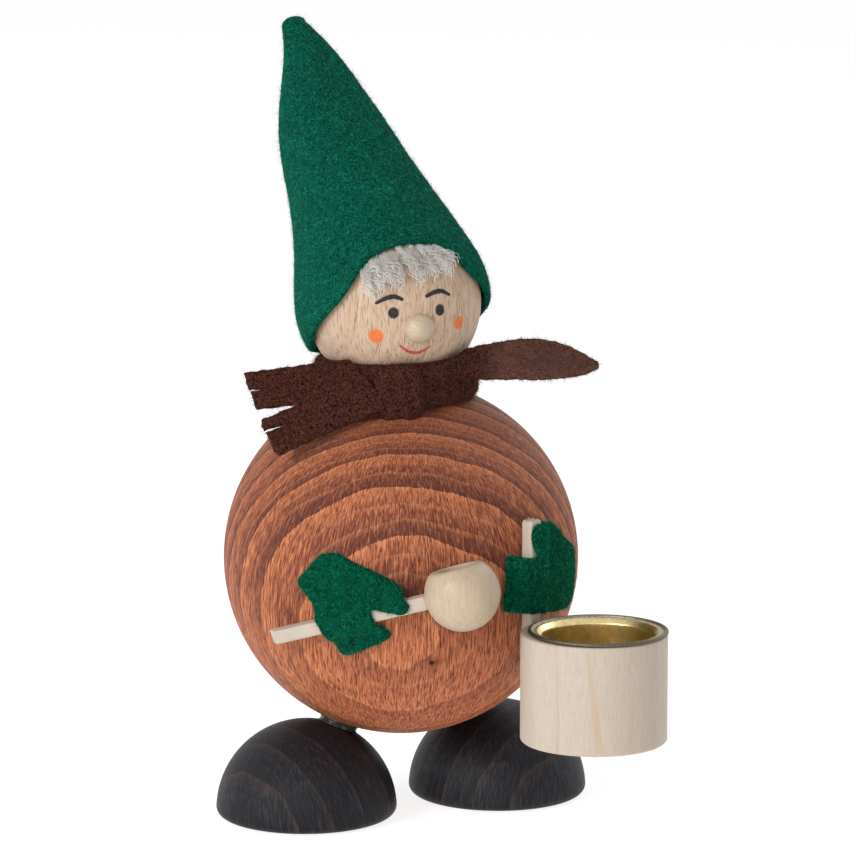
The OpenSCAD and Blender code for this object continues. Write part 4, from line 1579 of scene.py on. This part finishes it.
@dataclass
class Hair(Part):
    """The tuft of curly wool between the forehead and the rim."""

    hat: Hat = field(default_factory=Hat)
    spread: Pair = (-42, 10)
    long: float = 5.5
    deep: float = 2.2
    puff: float = 0.7
    thick: float = 0.6
    locks: float = 2.3
    lock_w: float = 0.42
    wave: float = 0.7
    curl: float = 0.8
    stray: float = 0.24
    seed: int = 5

    def build(self) -> list[Piece]:
        """The wool."""
        columns, rows = 40, 8
        angle = np.linspace(*self.spread, columns)
        share = np.linspace(-1, 1, columns)
        top = self.hat.rim(angle) - 0.1
        radius = self.hat.stance.head_r + 0.1
        a = np.radians(angle)
        points = []
        for k in range(rows):
            s = top - self.deep * (1.2 - 0.7 * share ** 2) * k / (rows - 1)
            r = np.sqrt((radius + self.puff * math.sin(math.pi / 2 * k / (rows - 1))) ** 2 - s ** 2)
            points.append(np.stack((r * np.sin(a), -r * np.cos(a), s), axis=1))
        grid = np.array(points)
        faces = [(i * columns + j, (i + 1) * columns + j, (i + 1) * columns + j + 1, i * columns + j + 1)
                 for i in range(rows - 1) for j in range(columns - 1)]
        slopes = np.gradient(grid, axis=(0, 1))
        down, side = (slope / np.linalg.norm(slope, axis=2, keepdims=True) for slope in slopes)
        fan = (0.05 + 0.1 * share)[None, :, None]
        flow = (down + fan * side).reshape(-1, 3) @ np.array(self.hat.stance.hat().to_3x3()).T
        ground = Solid(grid.reshape(-1, 3), faces).placed(self.hat.stance.hat())
        settings = {"Density": self.locks / MM ** 2, "Length": self.long * MM, "Wave": self.wave * MM,
                    "Bend": self.curl / radius / MM, "Width": self.lock_w * MM, "Lift": self.thick * MM,
                    "Lean": self.stray, "Seed": self.seed, "Material": WOOL.material()}
        mesh = Locks.grow("hair_wool", ground, settings, flow)
        return [publish("hair_wool", mesh, None, instead_of=["hair"])]


@dataclass
class Scarf(Part):
    """One strip of felt wound round the neck and tied in front, with two loose ends."""

    stance: Stance = STANCE
    hat: Hat = field(default_factory=Hat)
    felt: float = 1.5
    band_t: float = 5.2
    band_r: float = 14.8
    band_h: float = 9.8
    band_rise: float = 1.7
    knot_out: float = 1.2
    knot_turn: float = 21
    knot_size: Triple = (5.2, 3.4, 5.6)
    long_end: float = 34.2
    long_w: float = 8
    short_end: float = 22
    fringe_w: float = 18
    sunk: float = 0.4
    # The plain end is painted lighter, as if lit: this painted light ramps in along x over these
    # millimetres, towards this colour.
    painted_light_run: Pair = (8, 20)
    painted_light: Colour = tint(98, 72, 64)

    def on_band(self, angle: float, out: float, share: float) -> Array:
        """A point in the band's outer layer.

        Args:
            angle: its turn from the front to the right, in degrees.
            out: how far it lies outside that layer.
            share: its height from the band's middle, as a share of the band's.

        Returns:
            The point, in the ball's frame.
        """
        r = self.band_r + self.band_t / 2 - self.felt / 2 + out
        a = math.radians(angle)
        return np.array((-r * math.sin(a), -r * math.cos(a),
                         self.stance.neck_up + self.band_rise + share * self.band_h))

    def collar(self) -> Solid:
        """The wound part, creased towards the knot."""
        sides, around = 216, 36
        creases, crease_deep, crease_run = 5, 0.25, 90
        fold_deep, fold_w, fold_run = 0.5, 0.9, 150
        spin = round_angles(around)
        straight = self.band_h / 2 - self.band_t / 2
        rings = []
        for k in range(sides):
            turn = 360 * k / sides
            off = wrapped(turn - self.knot_turn)
            wave = np.cos(np.radians(turn * creases) + 1.5 * np.sin(spin))
            wave = wave * crease_deep * bell(np.array(off), 0, crease_run)
            r = self.band_r + (self.band_t / 2 + wave) * np.cos(spin)
            z = self.band_t / 2 * np.sin(spin) + straight * np.sign(np.sin(spin))
            fold = fold_deep * bell(z, self.band_h * (0.12 + 0.002 * off), fold_w) * (np.cos(spin) > 0)
            r = r - fold * bell(np.array(off), 0, fold_run)
            a = math.radians(turn)
            rings.append(np.stack((-r * math.sin(a), -r * math.cos(a), z), axis=1))
        grid = np.array(rings)
        faces = [(k * around + j, k * around + (j + 1) % around,
                  (k + 1) % sides * around + (j + 1) % around, (k + 1) % sides * around + j)
                 for k in range(sides) for j in range(around)]
        return Solid(grid.reshape(-1, 3), faces).outward()

    def knot(self) -> Solid:
        """The knot: a soft block with upright folds and two lobes below."""
        rows, sides = 28, 56
        wide, deep, tall = self.knot_size
        a = round_angles(sides)
        rings = []
        for k in range(1, rows):
            rise = math.pi * k / rows - math.pi / 2
            flat = abs(math.cos(rise)) ** 0.55
            x = wide * flat * swelled(np.cos(a), 0.7)
            y = deep * flat * swelled(np.sin(a), 0.7)
            z = tall * swelled(math.sin(rise), 0.75) + 0 * x
            low = np.clip(-z / tall, 0, 1)
            z = z - low * (1.1 * bell(x, -3.6, 1.6) + 1.0 * bell(x, 3.2, 2.0))
            y = y * (1 + 0.12 * np.sin(1.9 * x + 0.25 * z))
            rings.append(np.stack((x, y, z), axis=1))
        grid = np.array(rings)
        return loft(grid, grid[0].mean(0), grid[-1].mean(0)).outward()

    def long_sheet(self) -> CutSheet:
        """The plain end, a leaf that flies out to the figure's left."""
        leave, hidden = -28, 9
        root = self.on_band(leave, 0.2, 0.38)
        heading = np.array((1, 0.14, -0.09))
        wave = 0.15 * self.long_w
        radius = math.hypot(root[0], root[1])

        def path(run: Array) -> Array:
            """The leaf's middle line: round the band, then straight off it."""
            turn = np.radians(leave) - np.minimum(run, 0) / radius
            level = np.full_like(run, root[2])
            bent = np.stack((-radius * np.sin(turn), -radius * np.cos(turn), level), axis=1)
            return bent + np.maximum(run, 0)[:, None] * heading

        def lay(flat: Array) -> Array:
            """Where the flat felt goes."""
            t = np.maximum(flat[:, 0], 0) / self.long_end
            line = np.mean([path(flat[:, 0] + shift) for shift in (-4, -2, 0, 2, 4)], axis=0)
            line[:, 1] -= wave * np.sin(np.radians(270 * t))
            line[:, 1] += 0.7 * flat[:, 1] * np.minimum(1, 2 * t)
            line[:, 2] += flat[:, 1] + wave * np.sin(np.radians(180 * t))
            return line

        run = np.linspace(-hidden, self.long_end, 70)
        slim = np.clip(1 + run / hidden, 0, 1)
        t = np.maximum(run, 0) / self.long_end
        half = self.long_w / 2 * (0.9 + 0.5 * t - 1.25 * t ** 4)
        upper = np.column_stack((run, half * (0.05 + 0.95 * slim ** 1.5)))
        lower = np.column_stack((run, -0.88 * half * (0.3 + 0.7 * slim)))
        return CutSheet(roughened(np.vstack((upper, lower[::-1])), 2.5, 0.24), lay, self.felt)

    def short_sheet(self) -> CutSheet:
        """The end that is cut into four fingers, over the figure's right shoulder."""
        root_top = self.on_band(60, 1.7, 0.58)
        root_low = self.on_band(29, self.knot_out + 2.2, -0.3)
        end_top = root_top + unit((-0.86, 0.42, -0.13)) * self.short_end
        end_low = end_top + unit((4, -7.2, -17)) * self.fringe_w
        size = np.array((self.short_end, self.fringe_w))

        def lay(flat: Array) -> Array:
            """Where the flat felt goes."""
            t, v = flat[:, :1] / size[0], flat[:, 1:2] / size[1]
            path = mix(mix(root_top, root_low, v), mix(end_top, end_low, v), t)
            path[:, 1:2] -= self.fringe_w / 12 * np.sin(math.pi * t) * np.sin(math.pi * v)
            path = path + 3.0 * t * v * np.array((-0.41, -0.9, 0.17))
            return off_ball(path, (0, 0, 0), self.stance.ball_r + self.felt / 2 + 0.03)

        corners = np.array((
            (0, 0), (1, 0), (1.01, 0.22), (0.9, 0.225), (1, 0.24), (1, 0.46), (0.7, 0.51), (1, 0.585),
            (1.01, 0.72), (0.78, 0.715), (1, 0.74), (0.97, 1.05), (0, 1.02)))
        return CutSheet(roughened(resampled(corners * size, 0.3), 7.5, 0.34), lay, self.felt)

    def nap(self, nodes: Nodes, place: Socket, colour: Socket) -> Socket:
        """Paints light onto the felt towards the plain end: a painted highlight that screens its colour
        lighter there.
        """
        share = nodes.span(nodes.axis(place, "X"), *(x * MM for x in self.painted_light_run))
        # Screens the colour towards a lighter brown along x: painted light on the plain end.
        return nodes.blend(share, colour, self.painted_light, "SCREEN")

    def build(self) -> list[Piece]:
        """The scarf and its loose fibres."""
        s = self.stance
        neck = turned(y=-s.neck_lean) @ moved(z=s.neck_up + self.band_rise)
        solid = self.collar().placed(neck)
        a = math.radians(self.knot_turn)
        middle = self.band_r + self.band_t / 2 - 1.0
        knot = moved(-middle * math.sin(a), -middle * math.cos(a), -0.6) @ turned(z=-self.knot_turn)
        solid.join(self.knot().placed(neck @ knot))
        head = turned(y=-s.neck_lean) @ Vector((0, 0, s.head_up))
        hat = s.ball().inverted() @ s.hat()
        back = hat.to_3x3() @ Vector((0, 0, 1))
        lowest = float(self.hat.rim(np.arange(150.0, 210.0)).min()) - 0.15
        near = np.linalg.norm(solid.points - np.array(head), axis=1) < self.hat.radius + 0.65
        past = np.maximum((solid.points - np.array(head)) @ np.array(back) - lowest, 0) * near
        solid.points = solid.points - past[:, None] * np.array(back)
        solid.clear_of((0, 0, 0), s.ball_r - self.sunk).clear_of(head, s.head_r - self.sunk)
        for sheet in (self.long_sheet(), self.short_sheet()):
            solid.join(sheet.solids()[0])
        solid.points = solid.points + 0.12 * wander(solid.points, 2.2, 6.6)[:, None] * unit((0.3, -1, 0.2))
        solid.placed(s.ball())
        # self.nap paints light onto the scarf's plain end.
        scarf, fuzz, hairs = felt_pieces(
            "scarf", solid, SCARF_FELT, Fibres(solid, Nap.UPRIGHT, 3.0, 21),
            Fibres(solid, Nap.LYING, 2.4, 22), self.nap)
        return [scarf, fuzz, hairs]


@dataclass
class Mitten(Part):
    """A felt mitten glued over a stick on the ball."""

    name: str
    outline: tuple[Pair, ...]
    place: Matrix
    stick_w: float
    stick_t: float
    lean: float
    aside: float
    seed: int
    stance: Stance = STANCE
    felt: float = 1.0
    slope: float = 2.4
    corner: float = 0.5
    spacing: float = 0.45
    edge: float = 0.6
    drape: float = 0.12

    def lay(self, flat: Array) -> Array:
        """Where the flat felt goes, over the ball and the stick.

        Args:
            flat: points of the cut felt.

        Returns:
            The middle of the felt there.
        """
        a = math.radians(self.lean)
        across = np.abs(-flat[:, 0] * math.sin(a) + flat[:, 1] * math.cos(a) - self.aside)
        ball = np.sqrt(self.stance.ball_r ** 2 - (flat ** 2).sum(1))
        top = self.stance.stick_face + self.stick_t
        edge = self.stick_w / 2 + self.felt / 2
        drop = np.clip((across - edge) / self.slope, 0, 2)
        tent = top - (self.stick_t + 1) * drop
        level = 0.5 * (ball + tent + np.sqrt((ball - tent) ** 2 + self.drape))
        return np.column_stack((flat, level + self.felt / 2))

    def build(self) -> list[Piece]:
        """The mitten and its loose fibres."""
        edge = resampled(softened(np.array(self.outline, float), self.corner), self.spacing)
        edge = roughened(edge, self.seed)
        cut = CutSheet(edge, self.lay, self.felt, self.spacing, self.edge)
        solid, ground = (part.placed(self.place) for part in cut.solids())
        node = "mitten_" + self.name
        mitten, fuzz, hairs = felt_pieces(
            node, solid, MITTEN_FELT, Fibres(solid, Nap.UPRIGHT, 4.0, self.seed),
            Fibres(ground, Nap.LYING, 3.0, self.seed + 1))
        return [mitten, fuzz, hairs]


def stick(width: float, thick: float, start: float, end: float, cut: float, seed: float) -> Solid:
    """A split stick along x, a little uneven.

    Args:
        width: its size along y.
        thick: its size along z.
        start, end: where it runs along x.
        cut: how far its upper edge is cut back at the start.
        seed: which unevenness.

    Returns:
        The stick, its middle on the x axis.
    """
    corner, spacing, row = 0.3, 0.35, 0.6
    cut_run, uneven = 6, 0.035
    section = []
    for k, (y, z) in enumerate(((1, 1), (-1, 1), (-1, -1), (1, -1))):
        middle = (y * (width / 2 - corner), z * (thick / 2 - corner))
        section.append(arc(middle, corner, 90 * k, 90 * k + 90, 3))
    ring = resampled(np.vstack(section), spacing)
    rings = []
    rows = max(8, round((end - start) / row))
    for k in range(rows + 1):
        x = mix(start, end, k / rows)
        gap = min(x - start, end - x)
        yz = ring * float(np.interp(gap, (0, 0.06, 0.16), (0.9, 0.97, 1.0)))
        back = cut * np.clip((yz[:, 1] + thick / 2) / thick, 0, 1) * max(0.0, 1 - (x - start) / cut_run)
        points = np.column_stack((x + back, yz))
        points[:, 1:] *= (1 - uneven * np.abs(wander(points * (0.25, 1, 1), 1.1, seed)))[:, None]
        rings.append(points)
    grid = np.array(rings)
    return loft(grid, grid[0].mean(0), grid[-1].mean(0)).outward()


@dataclass
class Ladle(Part):
    """The ladle: a drilled bead on a split stick."""

    stance: Stance = STANCE
    bowl_r: float = 7.7
    rim: float = 5.4
    hollow_r: float = 4
    hollow: float = 6
    roll: float = 10
    at: float = 23.33
    handle_w: float = 2.9
    handle_t: float = 2.8
    tail: float = 19.2
    tail_cut: float = 30

    def build(self) -> list[Piece]:
        """The bowl and the handle."""
        s = self.stance
        place = s.ladle(s.stick_face + self.handle_t / 2)
        edge = math.sqrt(self.bowl_r ** 2 - self.rim ** 2)
        lip = eased(((0, self.rim - self.hollow, 0), (self.hollow_r, self.rim - self.hollow, 0.5),
                     (self.hollow_r, self.rim, 0.15), (edge - 0.18, self.rim, 0.0)), 4, 0.8)
        low = math.degrees(math.asin(self.rim / self.bowl_r))
        side = arc((0, 0), self.bowl_r, low - 2.5, -90, 60)
        side[-1, 0] = 0
        bowl = lathe(np.vstack((lip, side)), 128)
        upright = place @ moved(self.at) @ turned(-90 - self.roll)
        grain = Grain(upright.translation, (1, -0.4, 0), self.bowl_r, (0.1, 0, 1), 60)
        made = publish("ladle_bowl_wood", bowl.placed(upright), BOWL.material("bowl", grain),
                       instead_of=["ladle_bowl"])
        end = self.at - math.sqrt(self.bowl_r ** 2 - (self.handle_w ** 2 + self.handle_t ** 2) / 4)
        cut = self.handle_t * math.tan(math.radians(self.tail_cut))
        handle = stick(self.handle_w, self.handle_t, -self.tail, end, cut, 4.4).placed(place)
        grain = Grain(place.translation, (0, -0.7, 1), 2, place.to_3x3() @ Vector((1, 0, 0)), 70)
        return [made, publish("ladle_handle_wood", handle, WHITE.material("handle", grain),
                              instead_of=["ladle_handle"])]


@dataclass
class Bucket(Part):
    """The turned bucket and the tall stave that holds it to the ball."""

    stance: Stance = STANCE
    radius: float = 15
    tall: float = 22.4
    flat: float = 0.4
    bevel: float = 0.4
    bore_r: float = 12.2
    bore: float = 16
    bore_shift: float = 1.1
    stave_w: float = 3.2
    stave_t: float = 2.8
    stave_l: float = 40
    stave_rise: float = 13
    stave_shift: float = 1.4
    tan: tuple[tuple[float, tuple[Pair, Pair]], ...] = (
        (0.34, ((-32, 1), (-22, 21))),
        (0.18, ((2, 1), (4, 22))),
    )
    tan_colour: Colour = tint(198, 164, 118)
    tan_halves: Pair = (0.35, 0.8)
    tan_sway: float = 2

    @property
    def out(self) -> float:
        """The bucket's axis from the ball's axis."""
        return self.stance.stick_face + self.stave_t + self.radius - self.flat

    def streaks(self, nodes: Nodes, place: Socket, colour: Socket) -> Socket:
        """Adds the tan streaks in the bucket's wood.

        Args:
            nodes: the material's nodes.
            place: where the surface is.
            colour: the wood's colour.

        Returns:
            The colour with the streaks in it.
        """
        sway = nodes.noise(nodes.vector("MULTIPLY", place, (1, 1, 0.4)), 500, 3)
        sway = nodes.times(nodes.math("SUBTRACT", sway, 0.5), self.tan_sway * MM)
        spot = nodes.vector("ADD", place, nodes.vector("SCALE", (1.0, 1.0, 0.0), scale=sway))
        rim = self.stance.bucket(self.out).translation
        for share, line in self.tan:
            ends = [rim + point_on(self.radius, turn, 0) - Vector((0, 0, drop)) for turn, drop in line]
            mask = PaintStroke.mask(nodes, spot, ends, self.tan_halves)
            colour = nodes.blend(nodes.times(mask, share), colour, self.tan_colour)
        return colour

    def build(self) -> list[Piece]:
        """The bucket, the stave and the splinters on the stave's end."""
        s = self.stance
        r, b = self.radius, self.bevel
        wall = eased(((0, -self.tall, 0), (r - b, -self.tall, 0.3), (r, b - self.tall, 0.3), (r, 0, 0.35),
                      (r - 1.2, 0, 0)), 4, 1.2)
        well = eased(((self.bore_r + 1.0, 0, 0), (self.bore_r, 0, 0.25), (self.bore_r, -self.bore, 0.4),
                      (0, -self.bore, 0)), 4, 1.5)
        sides = 160
        angle = round_angles(sides)
        rings = []
        for part, shift in ((wall[1:], 0.0), (well[:-1], self.bore_shift)):
            for radius, z in part:
                y = radius * np.sin(angle) - shift
                if shift == 0:
                    y = np.minimum(y, r - self.flat)
                rings.append(np.stack((radius * np.cos(angle), y, np.full(sides, z)), axis=1))
        ends = [np.array((0, -shift, z)) for shift, z in ((0, -self.tall), (self.bore_shift, -self.bore))]
        place = s.bucket(self.out)
        solid = loft(np.array(rings), *ends).outward().placed(place)
        grain = Grain(place.translation, (0.9, -0.5, 0), r, (0, 0.05, 1), 50)
        material = WHITE.material("bucket", grain, self.streaks)
        bucket = publish("bucket_wood", solid, material, instead_of=["bucket"])
        upright = s.bucket_side() @ moved(-self.stave_shift, 0, s.stick_face + self.stave_t / 2)
        upright = upright @ turned(z=90)
        top = self.stave_rise
        solid = stick(self.stave_w, self.stave_t, top - self.stave_l, top, 0, 9.1).placed(upright)
        material = WHITE.material("stave", Grain(upright.translation, (1, -0.3, 0), 2, (0, 0, 1), 40))
        stave = publish("stave_wood", solid, material, instead_of=["bucket_stave"])
        w, t = self.stave_w / 2 - 0.15, self.stave_t / 2 - 0.15
        corners = np.array(((top, -w, -t), (top, w, -t), (top, w, t), (top, -w, t)), float)
        ground = Solid(corners, [(0, 1, 2, 3)]).placed(upright)
        frayed = Fibres(ground, Nap.SPLINTER, 5, 3)
        return [bucket, stave, frayed.grown("stave_splinters", material, Slot.PALE)]


@dataclass
class CandleCup(Part):
    """The brass cup that lifts out of the bucket."""

    bucket: Bucket = field(default_factory=Bucket)
    inner_r: float = 11.5
    wall: float = 0.5
    depth: float = 15
    flange_r: float = 14.3
    bead: float = 0.45
    lead: float = 1

    def build(self) -> list[Piece]:
        """The cup."""
        r, w, d = self.inner_r, self.wall, self.depth
        mouth = r + self.lead
        inside_path = eased(((0, -d, 0), (r, -d, 0.8), (r, w - self.lead, 0.6), (mouth, w, 0.3),
                             (self.flange_r - 2 * self.bead, w, 0)), 5, 1.0)
        bead = arc((self.flange_r - self.bead, self.bead), self.bead, 170, -90, 12)
        under = eased(((self.flange_r - self.bead, 0, 0), (r + w, 0, 0.15), (r + w, -d - w, 0.8),
                       (0, -d - w, 0)), 5, 1.0)
        profile = np.vstack((inside_path, bead, under[1:]))
        place = self.bucket.stance.bucket(self.bucket.out + self.bucket.bore_shift)
        solid = lathe(profile, 144).placed(place)
        material = BRASS.material(place.translation, mouth, self.flange_r - 2 * self.bead)
        return [publish("cup_brass", solid, material, Body.CUP, ["candle_cup"])]


@dataclass
class Feet(Part):
    """Two half balls under the ball, flattened where they meet it."""

    stance: Stance = STANCE
    radius: float = 19.1
    middle: float = 0.9
    aside: float = 22.3
    forward: float = 0.8
    sole_edge: float = 1.8
    flat: float = 0.4
    glue_r: float = 4
    hearts: tuple[Triple, Triple] = ((-0.9, -0.2, -0.2), (0.5, -0.75, -0.15))

    @cached_property
    def glue_and_gap_shade(self) -> Material:
        """Glossy adhesive squeezed out of the joint, mostly near-black as painted shade in the gap between
        foot and ball, with grey patches of its own colour.
        """
        material, nodes = new_material("joint_glue_and_gap_shade")
        share = nodes.span(nodes.noise(nodes.place(), 900, 3), 0.45, 0.7)
        # Mostly the near-black colour, painted shade for the joint's gap; the grey patches are the
        # adhesive's own colour.
        colour = nodes.blend(share, tint(16, 13, 13), tint(96, 88, 80))
        surface(nodes, {"Base Color": colour, "Roughness": 0.3})
        return material

    def profile(self) -> Array:
        """The half ball with its rounded sole."""
        r, e = self.radius, self.sole_edge
        reach = math.sqrt((r - e) ** 2 - (e - self.middle) ** 2)
        join = math.degrees(math.atan2(e - self.middle, reach))
        sole = np.column_stack((np.linspace(0, reach, 12), np.zeros(12)))
        edge = arc((reach, e), e, -90, join, 10)
        dome = arc((0, self.middle), r, join, 90, 60)
        dome[-1, 0] = 0
        return np.vstack((sole, edge[1:], dome[1:]))

    def build(self) -> list[Piece]:
        """Both feet."""
        pieces = []
        ball = Vector((0, 0, self.stance.ball_z))
        for side, name, heart in zip((-1, 1), ("foot_right", "foot_left"), self.hearts):
            centre = Vector((side * self.aside, -self.forward, self.middle))
            solid = lathe(self.profile(), 144).placed(moved(centre.x, centre.y, 0))
            towards = (ball - centre).normalized()
            solid.pressed(towards, centre + towards * (self.radius - self.flat))
            stain = BLACK.material(name, Grain(centre, heart, self.radius, (0, 0.1, 1), 60))
            pieces.append(publish(name + "_wood", solid, stain, instead_of=[name]))
            low = self.radius - self.flat - 0.1
            high = (ball - centre).length - self.stance.ball_r + 0.4
            profile = eased(((0, low, 0), (self.glue_r + 0.4, low, 0), (self.glue_r, low + 0.45, 0.3),
                             (self.glue_r + 0.3, high, 0), (0, high, 0)), 4, 0.5)
            upright = moved(*centre) @ towards.to_track_quat("Z", "Y").to_matrix().to_4x4()
            # The joint's ring: adhesive, and near-black painted shade in the gap.
            glue_and_gap_shade = lathe(profile, 64).placed(upright)
            pieces.append(publish(name + "_glue", glue_and_gap_shade, self.glue_and_gap_shade))
        return pieces


@dataclass
class Pins(Part):
    """The hidden dowels and the brad, as the CAD has them."""

    dowels: tuple[str, ...] = ("neck_dowel", "foot_dowel_right", "foot_dowel_left")
    brad: str = "stave_brad"

    def steel(self) -> Material:
        """Drawn steel wire."""
        material, nodes = new_material("brad_steel")
        streak = nodes.noise(nodes.place(), 3000, 2)
        colour = nodes.blend(streak, tint(120, 122, 126), tint(186, 188, 192))
        surface(nodes, {"Base Color": colour, "Metallic": 1.0, "Roughness": 0.35})
        return material

    def build(self) -> list[Piece]:
        """Gives the CAD nodes their finish."""
        pieces = []
        for name in (*self.dowels, self.brad):
            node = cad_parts[name]
            low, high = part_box(name)
            grain = Grain((low + high) / 2 / MM, (1, 0.2, 0), 4, (0, 0, 1), 40)
            steel = name == self.brad
            node.data.materials.clear()
            node.data.materials.append(self.steel() if steel else PALE.material(name, grain))
            pieces.append(node)
        return pieces


@dataclass
class Studio:
    """The floor, the light and the camera, in metres."""

    lens: float = 170.68
    sensor: float = 36
    near: float = 0.01
    eye: Triple = (-0.344657, -0.769853, 0.22283)
    aim: Triple = (0.40903, 0.89728, -0.16607)
    sky: float = 0.36
    bounce: float = 0.42
    glow: float = 1.24
    glow_share: float = 0.5
    floor_r: float = 9
    floor_z: float = -0.0002
    lit: Triple = (0, 0, 0.08)
    lamps: tuple[tuple[str, Triple, float, float], ...] = (
        ("key", (-1.5, -0.6, 0.75), 0.7, 15),
        ("low", (-0.9, -1.4, 0.15), 0.8, 5),
        ("rim", (1.3, 0.5, 0.9), 0.6, 4),
    )

    def lamp(self, name: str, place: Floats, size: float, power: float) -> None:
        """Adds a soft lamp that faces the figure.

        Args:
            name: the lamp's name.
            place: where it hangs.
            size: its width.
            power: its power, in watts.
        """
        light = bpy.data.lights.new(name, "AREA")
        light.shape = "DISK"
        light.size = size
        light.energy = power
        lamp = put(name, light)
        lamp.location = place
        lamp.rotation_euler = (Vector(self.lit) - Vector(place)).to_track_quat("-Z", "Y").to_euler()

    def white(self, nodes: Nodes, kind: str, strength: float) -> Socket:
        """White light of one strength, from a surface or from the sky."""
        return nodes.out(kind, {"Color": (1, 1, 1, 1), "Strength": strength})

    def seen(self, nodes: Nodes) -> Socket:
        """One where the camera sees a surface, also through a reflection."""
        path = nodes.add("ShaderNodeLightPath").outputs
        through = nodes.math("MAXIMUM", path["Is Glossy Ray"], path["Is Transmission Ray"])
        return nodes.math("MAXIMUM", path["Is Camera Ray"], through)

    def floor(self) -> Piece:
        """A wide pale floor that keeps a faint shadow."""
        material, nodes = new_material("pale_floor")
        glow, bounce = (self.white(nodes, "ShaderNodeEmission", x) for x in (self.glow, self.bounce))
        plain = nodes.out("ShaderNodeBsdfDiffuse", {"Color": (0.86, 0.86, 0.86, 1)})
        plain = nodes.out("ShaderNodeAddShader", {0: plain, 1: bounce})
        share = nodes.times(self.seen(nodes), self.glow_share)
        both = nodes.out("ShaderNodeMixShader", {0: share, 1: plain, 2: glow})
        nodes.add("ShaderNodeOutputMaterial", {"Surface": both})
        sides = 64
        angle = round_angles(sides)
        rim = np.column_stack((np.cos(angle), np.sin(angle), np.zeros(sides))) * self.floor_r
        mesh = bpy.data.meshes.new("floor")
        mesh.from_pydata((rim + (0, 0, self.floor_z)).tolist(), [], [tuple(range(sides))])
        mesh.materials.append(material)
        return put("floor", mesh)

    def world(self) -> None:
        """An even sky, white to the camera."""
        world = bpy.data.worlds.new("studio")
        world.use_nodes = True
        world.node_tree.nodes.clear()
        nodes = Nodes(world.node_tree)
        even, white = (self.white(nodes, "ShaderNodeBackground", x) for x in (self.sky, 1.0))
        both = nodes.out("ShaderNodeMixShader", {0: self.seen(nodes), 1: even, 2: white})
        nodes.add("ShaderNodeOutputWorld", {"Surface": both})
        bpy.context.scene.world = world

    def build(self) -> None:
        """Sets the stage."""
        self.floor()
        self.world()
        for lamp in self.lamps:
            self.lamp(*lamp)
        data = bpy.data.cameras.new("camera")
        data.lens = self.lens
        data.sensor_width = self.sensor
        data.clip_start = self.near
        camera = put("camera", data)
        camera.location = self.eye
        camera.rotation_euler = Vector(self.aim).to_track_quat("-Z", "Y").to_euler()
        bpy.context.scene.camera = camera
        bpy.context.scene.view_settings.view_transform = "Standard"


def mittens() -> list[Mitten]:
    """Both mittens, each over its stick."""
    right = ((-13.4, 5.9), (-8, 12), (-4.6, 12.8), (3.8, 9.4), (10, 6.3), (12, 3.6), (10.6, 1.6), (3.6, 2.7),
             (4.4, -0.2), (7.2, -3.8), (6.2, -5), (-1.8, -8.8), (-3.8, -9), (-9, 1.4))
    left = ((-7, 6.2), (-8.2, -4.6), (-7, -5.8), (-0.4, -6.4), (8, -8), (15, -8.4), (16.6, -6.4),
            (16.8, 4.4), (11.8, 7.4), (10.9, 8.8), (8.2, 10.9), (3.4, 11.9), (-2.2, 12.5), (-3.6, 11),
            (-3.4, 8.6), (-1.4, 5.3))
    s, ladle, bucket = STANCE, Ladle(), Bucket()
    return [
        Mitten("right", right, s.ladle_side(), ladle.handle_w, ladle.handle_t, s.ladle_rise, 0, 31),
        Mitten("left", left, s.bucket_side(), bucket.stave_w, bucket.stave_t, 90, bucket.stave_shift, 41),
    ]


def main() -> None:
    """Builds the figure's parts in order and reports their pieces."""
    logging.basicConfig(level=logging.INFO, format="%(name)s: %(message)s")
    parts: list[Part] = [Ball(), Head(), Hat(), Hair(), Scarf(), *mittens(), Ladle(), Bucket(), CandleCup(),
                         Feet(), Pins()]
    for part in parts:
        for piece in part.build():
            LOG.info("%s: %s, %d faces", type(part).__name__, piece.name, len(piece.data.polygons))
    Studio().build()
    bpy.context.view_layer.update()


if __name__ == "__main__":
    main()
